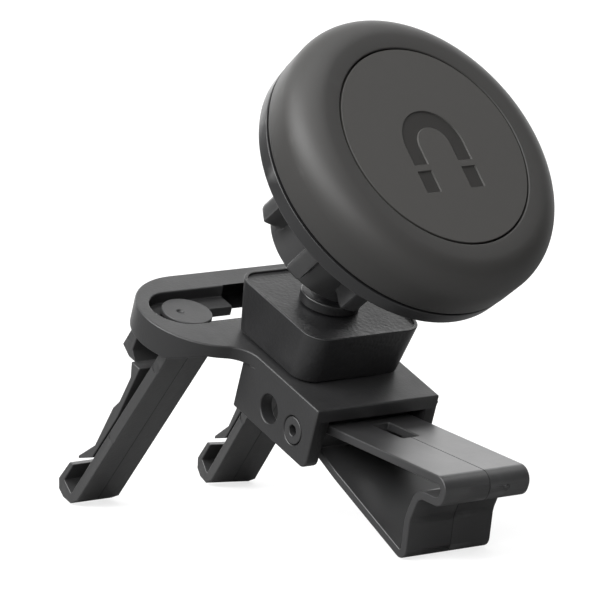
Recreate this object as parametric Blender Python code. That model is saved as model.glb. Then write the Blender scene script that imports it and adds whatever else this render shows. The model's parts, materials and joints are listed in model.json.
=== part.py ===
"""Magnetic phone mount with a ball head, a slotted vent bracket, two hook legs and a folding foot."""
import math

import bmesh
import bpy
from mathutils import Matrix, Vector

for old_object in list(bpy.data.objects):
    bpy.data.objects.remove(old_object, do_unlink=True)

MM = 0.001
GAP = 0.3 * MM                 # between two pieces that touch

# Bracket body: a channel with a slotted ring moulded on behind it.
BODY_WIDTH = 23.2 * MM
BODY_LENGTH = 20.6 * MM
BODY_WALL = 2.4 * MM
BODY_PLATE = 2.2 * MM           # roof of the channel, and web up to the slot
WALL_HEIGHT = 10.5 * MM
WALL_CORNER = 1.5 * MM
RING_LENGTH = 45.9 * MM
RING_DEPTH = 23.4 * MM
RING_HEIGHT = 4.6 * MM
RING_FILLET = 4.4 * MM
WEB_RAMP = 4.4 * MM             # where the web thickens into the ring
SLOT_WIDTH = 10.2 * MM
SLOT_END_WALL = 2.55 * MM
SLOT_NEAR_WALL = 2.05 * MM
SLOT_FAR_WALL = 4.9 * MM
LEDGE_SINK = 1.9 * MM
LEDGE_THICKNESS = 1.7 * MM
LEDGE_GAP = 3.4 * MM
WINDOW_LENGTH = 8.0 * MM

# Foot pin and the spare hole that moves the foot back.
PIN_RADIUS = 2.3 * MM
PIN_BORE = 0.95 * MM
PIN_SETBACK = 5.0 * MM
PIN_DROP = 6.2 * MM
PIN_HOLE_CLEARANCE = 0.05 * MM
SPARE_HOLE_RADIUS = 2.3 * MM
SPARE_HOLE_STEP = 6.75 * MM

# Neck block on the bracket, with the ball stem on top.
NECK_SIDE = 19.8 * MM
NECK_HEIGHT = 8.2 * MM
NECK_CORNER = 3.4 * MM
NECK_FLARE_ACROSS = 0.75 * MM   # how far the top stands out past the foot, each side
NECK_FLARE_ALONG = 1.4 * MM
NECK_LEAN_ACROSS = 0.45 * MM
NECK_LEAN_ALONG = 0.2 * MM
NECK_WALL = 1.8 * MM
NECK_ROOF = 2.4 * MM
NECK_RIM = 0.6 * MM
NECK_DISH = 0.35 * MM
NECK_SETBACK = 17.4 * MM
NECK_BOSS_RADIUS = 2.2 * MM
BALL_RADIUS = 5.5 * MM
BALL_HEIGHT = 13.3 * MM        # ball centre above the neck block
STEM_RADIUS = 2.5 * MM
STEM_FLANGE_RADIUS = 4.8 * MM
STEM_FLANGE = 1.6 * MM
STEM_SPIGOT_RADIUS = 2.6 * MM

# Screws: shank and head.
SCREW_RADIUS = 1.0 * MM
SCREW_HEAD_RADIUS = 1.7 * MM
SCREW_HEAD = 1.0 * MM
SCREW_RECESS = 0.5 * MM
NECK_SCREW_GRIP = 4.6 * MM      # into the neck block
STEM_SCREW_LENGTH = 6.0 * MM
STEM_SCREW_BORE = 5.0 * MM      # deep
WASHER_THICKNESS = 0.5 * MM

# Ball socket and its clamping nut.
PAD_THICKNESS = 0.8 * MM
SOCKET_WALL = 1.2 * MM
SOCKET_FLANGE_RADIUS = 10.4 * MM
SOCKET_FLANGE = 1.2 * MM
SOCKET_MOUTH = 2.4 * MM        # how far the socket reaches past the ball centre
FINGER_SLIT = 1.0 * MM
FINGER_COUNT = 4
NUT_REACH = 6.0 * MM           # how far the nut reaches past the ball centre
NUT_WALL = 2.1 * MM
NUT_WING_REACH = 3.5 * MM
NUT_WING_WIDTH = 3.5 * MM
NUT_WING_START = 3.4 * MM
NUT_WINGS = 8
NUT_FIRST_WING = 18.0          # degrees

# Magnetic head.
HEAD_RADIUS = 24.5 * MM
HEAD_BACK_RADIUS = 24.0 * MM
HEAD_BACK_HEIGHT = 11.6 * MM  # back of the head above the ball centre
HEAD_THICKNESS = 12.4 * MM
SHELL_FLOOR = 1.5 * MM
SHELL_BAND = 2.75 * MM
SHELL_WALL = 1.5 * MM
SHELL_LIP = 3.0 * MM
SHELL_EDGE = 0.6 * MM
CAP_WALL = 1.8 * MM
CAP_ROOF = 2.2 * MM
CAP_DRAFT = 0.35 * MM
CAP_WIDEST = 4.8 * MM          # widest circle below the face
CAP_EDGE_RADIUS = 19.6 * MM    # where the face turns into the round edge
DISC_RADIUS = 17.0 * MM
DISC_THICKNESS = 1.2 * MM
PLATE_THICKNESS = 1.2 * MM
TRAY_THICKNESS = 4.8 * MM
TRAY_FLOOR = 1.0 * MM
MAGNET_RADIUS = 4.0 * MM
MAGNET_CIRCLE = 12.4 * MM
MAGNET_COUNT = 6
HEAD_SCREW_CIRCLE = 17.6 * MM
HEAD_SCREWS = 3
HEAD_BEARING = -78.5           # degrees round the stem that the face leans towards
HEAD_TILT = 32.7               # degrees

# Hook legs, each with a slider in the slot and a sprung release lever.
LEG_WIDTH = 8.2 * MM
LEG_LEAN = 23.4                # degrees
LEG_PLATE = 2.0 * MM
LEG_TOP = 2.2 * MM
LEG_FRONT_REACH = 3.95 * MM
LEG_LENGTH = 43.6 * MM         # along the lean, over the hook
HOOK_FLOOR = 2.4 * MM
HOOK_GAP = 2.8 * MM
HOOK_WALL = 1.25 * MM
HOOK_DEPTH = 3.5 * MM
HOOK_CHAMFER = 3.0 * MM
LUG_REACH = 7.5 * MM
LUG_THICKNESS = 1.9 * MM
LUG_LENGTH = 7.7 * MM
LUG_TOE = 2.2 * MM
LUG_BULGE = 1.7 * MM           # behind its root
LEVER_TOP = 10.05 * MM         # along the lean, from the top of the leg
LEVER_PIVOT = 20.8 * MM
LEVER_SPLAY = 1.4 * MM
LEVER_THICKNESS = 1.5 * MM
LEVER_THUMB = 2.3 * MM
LEVER_ROOT = 31.8 * MM
THUMB_SLOPE = 1.0 * MM
THUMB_LENGTH = 3.1 * MM
PIVOT_SWELL = 2.2 * MM         # the arm thickens so far before its pivot
BARB_LENGTH = 3.4 * MM
BARB_RISE = 2.4 * MM
LEFT_LEG_OFFSET = -14.0 * MM
RIGHT_LEG_OFFSET = 10.7 * MM
LEFT_LEG_SWIVEL = 0.0          # degrees
RIGHT_LEG_SWIVEL = -9.0        # degrees
BUTTON_RADIUS = 4.1 * MM
BUTTON_THICKNESS = 0.9 * MM
SHANK_CLEARANCE = 0.3 * MM
SHANK_DEPTH = 1.6 * MM         # into the top of the leg

# Folding foot: a springy loop of sheet round a hinge barrel.
FOOT_WIDTH = 16.0 * MM
FOOT_SHEET = 1.4 * MM
FOOT_BARREL = 1.1 * MM
FOOT_REACH = 33.2 * MM
FOOT_RISE = 9.3 * MM
FOOT_CURL = 3.6 * MM
FOOT_HEEL_REACH = 27.8 * MM
FOOT_HEEL_DROP = 6.8 * MM
FOOT_SLOT_WIDTH = 3.2 * MM
FOOT_SLOT_OFFSET = 0.5 * MM
FOOT_SLOT_START = 5.8 * MM
FOOT_SLOT_END = 13.4 * MM

ROUND_STEPS = 24
FACE_STEPS = 56


# ---------------------------------------------------------------- shapes

def circle_point(centre, radius, degrees):
    angle = math.radians(degrees)
    return (centre[0] + radius * math.cos(angle), centre[1] + radius * math.sin(angle))


def arc(centre, radius, start, end, steps):
    """Points on an arc, both ends included, angles in degrees."""
    turn = (end - start) / steps
    return [circle_point(centre, radius, start + turn * i) for i in range(steps + 1)]


def rounded(corners, steps=5):
    """An open path through corners (x, y, radius), each turned into an arc."""
    path = [corners[0][:2]]
    for before, here, after in zip(corners, corners[1:], corners[2:]):
        corner = Vector(here[:2])
        back = (Vector(before[:2]) - corner).normalized()
        on = (Vector(after[:2]) - corner).normalized()
        half = back.angle(on) / 2
        centre = corner + (back + on).normalized() * here[2] / math.sin(half)
        reach = here[2] / math.tan(half)
        first = corner + back * reach - centre
        sweep = first.angle_signed(corner + on * reach - centre)
        for i in range(steps + 1):
            path.append(tuple(centre + Matrix.Rotation(-sweep * i / steps, 2) @ first))
    return path + [corners[-1][:2]]


def ribbon(path, thickness):
    """A closed outline of even thickness along an open path."""
    points = [Vector(p) for p in path]
    left, right = [], []
    for i, point in enumerate(points):
        before, after = points[max(i - 1, 0)], points[min(i + 1, len(points) - 1)]
        along = (after - before).normalized()
        side = Vector((-along.y, along.x)) * thickness / 2
        left.append(tuple(point + side))
        right.append(tuple(point - side))
    return left + right[::-1]


def stadium(half_length, half_width, centre_y, steps=10):
    straight = half_length - half_width
    return (arc((straight, centre_y), half_width, -90, 90, steps)
            + arc((-straight, centre_y), half_width, 90, 270, steps))


def rounded_block(half_x, half_y, radius, centre, steps=5):
    """A rectangle with round corners about a centre."""
    outline = []
    for quarter, (sign_x, sign_y) in enumerate([(1, 1), (-1, 1), (-1, -1), (1, -1)]):
        corner = (centre[0] + sign_x * (half_x - radius), centre[1] + sign_y * (half_y - radius))
        outline += arc(corner, radius, quarter * 90, quarter * 90 + 90, steps)
    return outline


def new_object(name, mesh, parent=None):
    made = bpy.data.objects.new(name, mesh)
    bpy.context.scene.collection.objects.link(made)
    made.parent = parent
    return made


def mesh_from(name, build):
    """Runs build(bm), turns the faces outwards and returns the mesh."""
    bm = bmesh.new()
    build(bm)
    bmesh.ops.remove_doubles(bm, verts=bm.verts, dist=0.0000005)
    bmesh.ops.recalc_face_normals(bm, faces=bm.faces)
    mesh = bpy.data.meshes.new(name)
    bm.to_mesh(mesh)
    bm.free()
    return mesh


def prism(name, outline, low, high, along="Z", parent=None):
    """An outline pushed from low to high along Z, or along X for an outline of (y, z) points."""
    def build(bm):
        if along == "Z":
            verts = [bm.verts.new((a, b, low)) for a, b in outline]
            step = Vector((0, 0, high - low))
        else:
            verts = [bm.verts.new((low, a, b)) for a, b in outline]
            step = Vector((high - low, 0, 0))
        face = bm.faces.new(verts)
        pushed = bmesh.ops.extrude_face_region(bm, geom=[face], use_keep_orig=True)
        moved = [item for item in pushed["geom"] if isinstance(item, bmesh.types.BMVert)]
        bmesh.ops.translate(bm, verts=moved, vec=step)
    return new_object(name, mesh_from(name, build), parent)


def tapered_prism(name, lower, upper, low, high, parent=None):
    """Two outlines with as many points each, joined from low to high."""
    def build(bm):
        rings = []
        for outline, height in ((lower, low), (upper, high)):
            verts = [bm.verts.new((x, y, height)) for x, y in outline]
            bm.faces.new(verts)
            rings.append(verts)
        for i in range(len(lower)):
            j = (i + 1) % len(lower)
            bm.faces.new((rings[0][i], rings[0][j], rings[1][j], rings[1][i]))
    return new_object(name, mesh_from(name, build), parent)


def lathe(name, profile, parent=None, steps=ROUND_STEPS):
    """A profile of (radius, height) points spun about Z. It closes on itself unless it
    starts and ends on the axis."""
    def build(bm):
        verts = [bm.verts.new((radius, 0, height)) for radius, height in profile]
        edges = [bm.edges.new(pair) for pair in zip(verts, verts[1:])]
        if profile[0][0] > 0 or profile[-1][0] > 0:
            edges.append(bm.edges.new((verts[-1], verts[0])))
        bmesh.ops.spin(bm, geom=verts + edges, cent=(0, 0, 0), axis=(0, 0, 1),
                       angle=math.tau, steps=steps, use_duplicate=False)
    made = new_object(name, mesh_from(name, build), parent)
    made.data.shade_smooth()
    made.data.set_sharp_from_angle(angle=math.radians(35))
    return made


def rod(name, radius, low, high, centre=(0, 0), parent=None, along="Z", steps=ROUND_STEPS):
    outline = arc(centre, radius, 0, 360, steps)[:-1]
    return prism(name, outline, low, high, along, parent)


def block(name, low, high, parent=None):
    outline = [(low[0], low[1]), (high[0], low[1]), (high[0], high[1]), (low[0], high[1])]
    return prism(name, outline, low[2], high[2], "Z", parent)


def combine(target, tool, operation):
    tool.hide_render = True
    tool.display_type = "WIRE"
    step = target.modifiers.new(tool.name, "BOOLEAN")
    step.operation = operation
    step.solver = "EXACT"
    step.object = tool


def cut(target, *tools):
    for tool in tools:
        combine(target, tool, "DIFFERENCE")


def add(target, *tools):
    for tool in tools:
        combine(target, tool, "UNION")


def finish(piece, colour, roughness, metallic=0.0):
    """A Principled material of the piece's own."""
    material = bpy.data.materials.new(piece.name)
    material.use_nodes = True
    shader = material.node_tree.nodes["Principled BSDF"]
    shader.inputs["Base Color"].default_value = (*colour, 1)
    shader.inputs["Roughness"].default_value = roughness
    shader.inputs["Metallic"].default_value = metallic
    piece.data.materials.append(material)
    return piece


def anchor(name, parent=None, place=(0, 0, 0), turn=(0, 0, 0)):
    """An empty on a joint's axis; turn is in degrees about X, Y and Z."""
    made = new_object(name, None, parent)
    made.location = place
    made.rotation_euler = [math.radians(angle) for angle in turn]
    return made


BLACK_PLASTIC = (0.032, 0.032, 0.033)
SOFT_BLACK = (0.040, 0.038, 0.036)
GREY_PLASTIC = (0.10, 0.10, 0.105)
STEEL = (0.55, 0.55, 0.56)
NICKEL = (0.62, 0.60, 0.57)

# ---------------------------------------------------------------- anchors

slot_half_length = RING_LENGTH / 2 - SLOT_END_WALL
ring_centre_y = BODY_LENGTH + RING_DEPTH / 2
slot_centre_y = BODY_LENGTH + RING_DEPTH - SLOT_FAR_WALL - SLOT_WIDTH / 2
ball_centre_z = NECK_HEIGHT + GAP + BALL_HEIGHT

bracket = anchor("bracket_frame")
foot_hinge = anchor("foot_hinge", bracket, (0, PIN_SETBACK, -PIN_DROP))
stem_swivel = anchor("stem_swivel", bracket, (0, NECK_SETBACK, ball_centre_z), (0, 0, HEAD_BEARING))
head_tilt = anchor("head_tilt", stem_swivel, turn=(0, HEAD_TILT, 0))
head_roll = anchor("head_roll", head_tilt)

# ---------------------------------------------------------------- bracket body


def bracket_outline():
    """Plan of the ring, and of the channel's top plate that runs into it."""
    round_end = RING_DEPTH / 2
    straight = RING_LENGTH / 2 - round_end
    edge = BODY_WIDTH / 2
    fillet_x = edge + RING_FILLET
    drop = math.sqrt((round_end + RING_FILLET) ** 2 - (fillet_x - straight) ** 2)
    fillet_y = ring_centre_y - drop
    meet = math.degrees(math.atan2(-drop, fillet_x - straight))
    right = [(edge, 0)]
    right += arc((fillet_x, fillet_y), RING_FILLET, 180, 180 + meet, 6)
    right += arc((straight, ring_centre_y), round_end, meet, 90, 16)[1:]
    return right + [(-x, y) for x, y in right[::-1]]


def wall_outline():
    """Side view of one side wall, round at its lower front corner."""
    corner = (WALL_CORNER, WALL_CORNER - WALL_HEIGHT)
    front = arc(corner, WALL_CORNER, 180, 270, 4)
    return [(0, -BODY_PLATE / 2)] + front + [(BODY_LENGTH, -WALL_HEIGHT), (BODY_LENGTH, -BODY_PLATE / 2)]


def make_bracket_body():
    edge = BODY_WIDTH / 2
    channel = edge - BODY_WALL
    slot_half = SLOT_WIDTH / 2
    body = prism("bracket_body", bracket_outline(), -RING_HEIGHT, 0, parent=bracket)
    under = -RING_HEIGHT - MM
    ramp_end = slot_centre_y - slot_half - SLOT_NEAR_WALL
    relief = [(-MM, -BODY_PLATE), (ramp_end - WEB_RAMP, -BODY_PLATE), (ramp_end, -RING_HEIGHT),
              (ramp_end, under), (-MM, under)]
    cut(body, prism("plate_relief", relief, -RING_LENGTH / 2, RING_LENGTH / 2, "X", bracket))
    for side, low in (("left", -edge), ("right", channel)):
        add(body, prism(side + "_wall", wall_outline(), low, low + BODY_WALL, "X", bracket))
    ledge_floor = -LEDGE_SINK - LEDGE_THICKNESS
    cut(body,
        prism("slot_top", stadium(slot_half_length, slot_half, slot_centre_y), -LEDGE_SINK, MM, parent=bracket),
        prism("slot_under", stadium(slot_half_length, slot_half, slot_centre_y), under,
              ledge_floor, parent=bracket),
        prism("slot_track", stadium(slot_half_length - slot_half + LEDGE_GAP, LEDGE_GAP / 2, slot_centre_y),
              under, MM, parent=bracket),
        block("slot_window", (-WINDOW_LENGTH / 2, slot_centre_y - slot_half, under),
              (WINDOW_LENGTH / 2, slot_centre_y + slot_half, MM), bracket))
    pin_at = (PIN_SETBACK, -PIN_DROP)
    spare_at = (PIN_SETBACK + SPARE_HOLE_STEP, -PIN_DROP)
    cut(body,
        rod("pin_hole", PIN_RADIUS + PIN_HOLE_CLEARANCE, -BODY_WIDTH, BODY_WIDTH, pin_at, bracket, "X"),
        rod("spare_hole", SPARE_HOLE_RADIUS, -BODY_WIDTH, BODY_WIDTH, spare_at, bracket, "X"))
    for side, place in neck_screw_places():
        cut(body, rod(side + "_neck_hole", SCREW_RADIUS + GAP, -RING_HEIGHT - MM, MM, place, bracket))
    finish(body, BLACK_PLASTIC, 0.42)


# ---------------------------------------------------------------- neck block

neck_top = NECK_HEIGHT + GAP


def neck_screw_places():
    across = NECK_SIDE / 2 - NECK_WALL - NECK_BOSS_RADIUS
    return [("left", (-across, NECK_SETBACK)), ("right", (across, NECK_SETBACK))]


def neck_plan(height, inset=0.0):
    """The block's plan at a height, drawn in from its skin by inset."""
    share = height / NECK_HEIGHT
    half = NECK_SIDE / 2 - inset
    centre = (NECK_LEAN_ACROSS * share, NECK_SETBACK + NECK_LEAN_ALONG * share)
    return rounded_block(half + NECK_FLARE_ACROSS * share, half + NECK_FLARE_ALONG * share,
                         NECK_CORNER - min(inset, NECK_RIM), centre)


def make_neck_block():
    neck = tapered_prism("neck_block", neck_plan(0), neck_plan(NECK_HEIGHT), GAP, neck_top, bracket)
    cut(neck,
        prism("neck_hollow", neck_plan(0, NECK_WALL), -MM, neck_top - NECK_DISH - NECK_ROOF, parent=bracket),
        prism("neck_dish", neck_plan(NECK_HEIGHT, NECK_RIM), neck_top - NECK_DISH, neck_top + MM,
              parent=bracket))
    for side, place in neck_screw_places():
        add(neck, rod(side + "_boss", NECK_BOSS_RADIUS, GAP, neck_top - NECK_DISH - MM, place, bracket))
        cut(neck, rod(side + "_pilot", SCREW_RADIUS + GAP, -MM, neck_screw_tip + GAP, place, bracket))
    cut(neck, rod("spigot_hole", STEM_SPIGOT_RADIUS + GAP, 0, neck_top + MM, (0, NECK_SETBACK), bracket))
    finish(neck, BLACK_PLASTIC, 0.5)


def screw(name, place, shank_end, parent, points_up=True):
    """A pan head screw whose head seats at z = 0, shank up or down to shank_end."""
    turn = 0 if points_up else 180
    frame = anchor(name + "_seat", parent, place, (turn, 0, 0))
    made = lathe(name, [(0, -SCREW_HEAD + SCREW_RECESS), (SCREW_RADIUS * 0.6, -SCREW_HEAD + SCREW_RECESS),
                        (SCREW_RADIUS * 0.6, -SCREW_HEAD), (SCREW_HEAD_RADIUS, -SCREW_HEAD),
                        (SCREW_HEAD_RADIUS, 0), (SCREW_RADIUS, 0), (SCREW_RADIUS, shank_end),
                        (0, shank_end)], frame, 12)
    return finish(made, STEEL, 0.3, 1.0)


neck_screw_length = BODY_PLATE + NECK_SCREW_GRIP
neck_screw_tip = neck_screw_length - BODY_PLATE - GAP

make_bracket_body()
make_neck_block()
for screw_side, (screw_x, screw_y) in neck_screw_places():
    screw(screw_side + "_neck_screw", (screw_x, screw_y, -BODY_PLATE - GAP), neck_screw_length, bracket)

# ---------------------------------------------------------------- ball stem

stem_foot = NECK_HEIGHT - NECK_DISH + GAP + GAP - ball_centre_z     # underside of the flange


def make_ball_stem():
    flange_top = stem_foot + STEM_FLANGE
    neck_angle = math.degrees(math.acos(STEM_RADIUS / BALL_RADIUS))
    ball = [(BALL_RADIUS * math.cos(math.radians(a)), BALL_RADIUS * math.sin(math.radians(a)))
            for a in [-neck_angle + (90 + neck_angle) * i / 9 for i in range(9)]]
    bore = SCREW_RADIUS + GAP
    spigot_low = stem_foot - NECK_ROOF + GAP
    profile = [(0, spigot_low + STEM_SCREW_BORE), (bore, spigot_low + STEM_SCREW_BORE), (bore, spigot_low),
               (STEM_SPIGOT_RADIUS, spigot_low), (STEM_SPIGOT_RADIUS, stem_foot),
               (STEM_FLANGE_RADIUS, stem_foot), (STEM_FLANGE_RADIUS, flange_top),
               (STEM_RADIUS, flange_top)] + ball + [(0, BALL_RADIUS)]
    finish(lathe("ball_stem", profile, stem_swivel), BLACK_PLASTIC, 0.35)
    washer_top = stem_foot - NECK_ROOF - GAP - GAP
    washer_low = washer_top - WASHER_THICKNESS
    washer = [(SCREW_RADIUS + GAP, washer_low), (NECK_BOSS_RADIUS + MM, washer_low),
              (NECK_BOSS_RADIUS + MM, washer_top), (SCREW_RADIUS + GAP, washer_top)]
    finish(lathe("stem_washer", washer, stem_swivel), STEEL, 0.3, 1.0)
    screw("stem_screw", (0, 0, washer_low - GAP), STEM_SCREW_LENGTH, stem_swivel)


make_ball_stem()

# ---------------------------------------------------------------- ball pad, socket and nut

pad_inner = BALL_RADIUS + GAP
pad_outer = pad_inner + PAD_THICKNESS
socket_inner = pad_outer + GAP
socket_outer = socket_inner + SOCKET_WALL
nut_bore = socket_outer + GAP
nut_outer = nut_bore + NUT_WALL
shell_inside = HEAD_BACK_HEIGHT + SHELL_FLOOR
socket_top = shell_inside + GAP + SOCKET_FLANGE


def sphere_zone(radius, low, high, steps=5):
    """Points down a sphere's side from height high to height low."""
    start, end = math.asin(high / radius), math.asin(low / radius)
    angles = [start + (end - start) * i / steps for i in range(steps + 1)]
    return [(radius * math.cos(a), radius * math.sin(a)) for a in angles]


def make_ball_pad():
    inner = sphere_zone(pad_inner, GAP - SOCKET_MOUTH, BALL_RADIUS * 0.8)
    outer = sphere_zone(pad_outer, GAP - SOCKET_MOUTH, BALL_RADIUS * 0.8)
    finish(lathe("ball_pad", inner + outer[::-1], head_tilt), GREY_PLASTIC, 0.55)


def make_ball_socket():
    bowl = sphere_zone(socket_inner, -SOCKET_MOUTH, socket_inner * 0.97)
    profile = [(0, socket_inner * 0.97)] + bowl + [
        (socket_outer, -SOCKET_MOUTH), (socket_outer, shell_inside + GAP),
        (SOCKET_FLANGE_RADIUS, shell_inside + GAP), (SOCKET_FLANGE_RADIUS, socket_top), (0, socket_top)]
    socket = lathe("ball_socket", profile, head_roll)
    for i in range(FINGER_COUNT):
        slit = block(f"finger_slit_{i + 1}", (pad_inner * 0.9, -FINGER_SLIT / 2, -SOCKET_MOUTH - MM),
                     (socket_outer + MM, FINGER_SLIT / 2, BALL_RADIUS), head_roll)
        slit.rotation_euler.z = math.tau * i / FINGER_COUNT
        cut(socket, slit)
    finish(socket, BLACK_PLASTIC, 0.4)


def nut_outline():
    """Round, with a flat-topped wing for each finger of the hand that turns it."""
    reach = nut_outer + NUT_WING_REACH
    half = math.degrees(math.asin(NUT_WING_WIDTH / 2 / reach))
    foot = math.degrees(math.asin(NUT_WING_WIDTH / 2 / nut_outer))
    pitch = 360 / NUT_WINGS
    outline = []
    for i in range(NUT_WINGS):
        middle = NUT_FIRST_WING + pitch * i
        outline += arc((0, 0), reach, middle - half, middle + half, 3)
        outline += arc((0, 0), nut_outer, middle + foot, middle + pitch - foot, 4)
    return outline


def make_collar_nut():
    top = HEAD_BACK_HEIGHT - GAP
    nut = prism("collar_nut", nut_outline(), -NUT_WING_START, top, parent=head_roll)
    add(nut, rod("nut_skirt", nut_outer, -NUT_REACH, 0, parent=head_roll))
    cut(nut, rod("nut_bore", nut_bore, -NUT_REACH - MM, top + MM, parent=head_roll))
    finish(nut, BLACK_PLASTIC, 0.45)


make_ball_pad()
make_ball_socket()
make_collar_nut()

# ---------------------------------------------------------------- magnetic head

face_height = HEAD_BACK_HEIGHT + HEAD_THICKNESS
cap_seat = HEAD_BACK_HEIGHT + SHELL_BAND + GAP
cap_inner = HEAD_RADIUS - CAP_WALL
shell_outer = cap_inner - GAP
tray_radius = shell_outer - SHELL_WALL - GAP
plate_low = socket_top + GAP
plate_high = plate_low + PLATE_THICKNESS
tray_low = plate_high + GAP
tray_high = tray_low + TRAY_THICKNESS
disc_low = face_height - DISC_THICKNESS


def radial_places(count, circle, first=0.0):
    turn = 360 / count
    return [circle_point((0, 0), circle, first + turn * i) for i in range(count)]


head_screw_places = radial_places(HEAD_SCREWS, HEAD_SCREW_CIRCLE, 180 / MAGNET_COUNT)
magnet_places = radial_places(MAGNET_COUNT, MAGNET_CIRCLE)


def make_back_shell():
    seam = HEAD_BACK_HEIGHT + SHELL_BAND
    lip = seam + SHELL_LIP
    profile = [(nut_bore, HEAD_BACK_HEIGHT), (HEAD_BACK_RADIUS - SHELL_EDGE, HEAD_BACK_HEIGHT),
               (HEAD_BACK_RADIUS, HEAD_BACK_HEIGHT + SHELL_EDGE), (HEAD_RADIUS - SHELL_EDGE, seam),
               (shell_outer, seam), (shell_outer, lip), (shell_outer - SHELL_WALL, lip),
               (shell_outer - SHELL_WALL, shell_inside), (nut_bore, shell_inside)]
    shell = lathe("head_back_shell", profile, head_roll, FACE_STEPS)
    for i, place in enumerate(head_screw_places):
        add(shell, rod(f"shell_boss_{i + 1}", NECK_BOSS_RADIUS, shell_inside - SHELL_FLOOR / 2,
                       plate_low - GAP, place, head_roll, steps=12))
        cut(shell, rod(f"shell_pilot_{i + 1}", SCREW_RADIUS + GAP / 2, shell_inside - SHELL_FLOOR / 2,
                       plate_low + MM, place, head_roll, steps=12))
    finish(shell, BLACK_PLASTIC, 0.4)


def make_rubber_cap():
    widest = face_height - CAP_WIDEST
    shoulder = HEAD_RADIUS - CAP_EDGE_RADIUS
    edge = [(CAP_EDGE_RADIUS + shoulder * math.sin(math.radians(a)),
             widest + CAP_WIDEST * math.cos(math.radians(a))) for a in range(0, 91, 15)]
    recess = DISC_RADIUS + GAP
    roof = face_height - CAP_ROOF
    profile = [(0, disc_low - GAP), (recess, disc_low - GAP), (recess, face_height)] + edge + [
        (HEAD_RADIUS - CAP_DRAFT, cap_seat), (cap_inner, cap_seat), (cap_inner, roof), (0, roof)]
    finish(lathe("rubber_cap", profile, head_roll, FACE_STEPS), SOFT_BLACK, 0.62)


def make_head_inside():
    face = rod("face_disc", DISC_RADIUS, disc_low, face_height, parent=head_roll, steps=FACE_STEPS)
    finish(face, SOFT_BLACK, 0.58)
    plate = rod("backing_plate", tray_radius, plate_low, plate_high, parent=head_roll, steps=FACE_STEPS)
    tray = rod("magnet_tray", tray_radius, tray_low, tray_high, parent=head_roll, steps=FACE_STEPS)
    for i, place in enumerate(head_screw_places):
        cut(plate, rod(f"plate_hole_{i + 1}", SCREW_RADIUS + GAP, plate_low - MM, plate_high + MM,
                       place, head_roll, steps=12))
        cut(tray, rod(f"tray_hole_{i + 1}", SCREW_HEAD_RADIUS + GAP, tray_low - MM, tray_high + MM,
                      place, head_roll, steps=12))
        screw(f"head_screw_{i + 1}", (*place, plate_high + GAP), PLATE_THICKNESS + SHELL_FLOOR,
              head_roll, points_up=False)
    pocket_low = tray_low + TRAY_FLOOR
    for i, place in enumerate(magnet_places):
        cut(tray, rod(f"magnet_pocket_{i + 1}", MAGNET_RADIUS + GAP, pocket_low, tray_high + MM,
                      place, head_roll, steps=16))
        magnet = rod(f"magnet_{i + 1}", MAGNET_RADIUS, pocket_low + GAP, tray_high, place, head_roll, steps=16)
        finish(magnet, NICKEL, 0.25, 1.0)
    finish(plate, STEEL, 0.4, 1.0)
    finish(tray, GREY_PLASTIC, 0.55)


make_back_shell()
make_rubber_cap()
make_head_inside()

# ---------------------------------------------------------------- hook legs

lean = math.radians(LEG_LEAN)
leg_corner = Vector((-LEG_FRONT_REACH, -GAP))


def on_leg(down, back):
    """(y, z) of a point so far down the leaning front face and so far behind it."""
    along = Vector((math.sin(lean), -math.cos(lean)))
    behind = Vector((math.cos(lean), math.sin(lean)))
    return tuple(leg_corner + along * down + behind * back)


def leg_outline():
    """Side view: top plate, leaning front plate with its hook, and the lug behind."""
    floor = LEG_LENGTH - HOOK_FLOOR
    pocket = LEG_PLATE + HOOK_GAP
    outer = pocket + HOOK_WALL
    hook = [on_leg(LEG_LENGTH - HOOK_CHAMFER, 0), on_leg(LEG_LENGTH - HOOK_CHAMFER / 3, HOOK_CHAMFER / 3),
            on_leg(LEG_LENGTH, HOOK_CHAMFER), on_leg(LEG_LENGTH, outer - HOOK_WALL),
            on_leg(LEG_LENGTH - HOOK_WALL, outer), on_leg(floor - HOOK_DEPTH, outer - HOOK_WALL / 6),
            on_leg(floor - HOOK_DEPTH - HOOK_WALL / 2, outer - HOOK_WALL),
            on_leg(floor, pocket), on_leg(floor, LEG_PLATE)]
    underside = -GAP - LEG_TOP
    plate_back = LEG_PLATE / math.cos(lean) - LEG_FRONT_REACH
    inner_top = (plate_back + LEG_TOP * math.tan(lean), underside)
    lug_inner = LUG_REACH - LUG_THICKNESS
    lug = [(lug_inner, underside), (lug_inner + LUG_THICKNESS * 0.4, -LUG_LENGTH * 0.8),
           (lug_inner - LUG_TOE / 4, -LUG_LENGTH), (lug_inner + LUG_TOE * 0.6, -LUG_LENGTH),
           (LUG_REACH + LUG_BULGE, -LUG_LENGTH * 0.86), (LUG_REACH, underside), (LUG_REACH, -GAP)]
    return [tuple(leg_corner)] + hook + [inner_top] + lug


def lever_outline():
    """Side view of the release lever: thumb pad, slim arm and barb, by the leg's front plate."""
    face = LEG_PLATE + GAP
    arm = LEVER_THICKNESS
    return [on_leg(LEVER_TOP, face + LEVER_SPLAY),
            on_leg(LEVER_TOP + THUMB_SLOPE, face + LEVER_SPLAY + LEVER_THUMB),
            on_leg(LEVER_TOP + THUMB_LENGTH, face + LEVER_SPLAY + arm * 0.5),
            on_leg(LEVER_PIVOT - PIVOT_SWELL, face + arm * 0.95),
            on_leg(LEVER_PIVOT, face + arm * 1.25),
            on_leg(LEVER_ROOT - PIVOT_SWELL, face + arm * 0.6),
            on_leg(LEVER_ROOT + BARB_LENGTH * 0.85, face + BARB_RISE * 1.1),
            on_leg(LEVER_ROOT + BARB_LENGTH, face + BARB_RISE),
            on_leg(LEVER_ROOT, face), on_leg(LEVER_PIVOT, face)]


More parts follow.
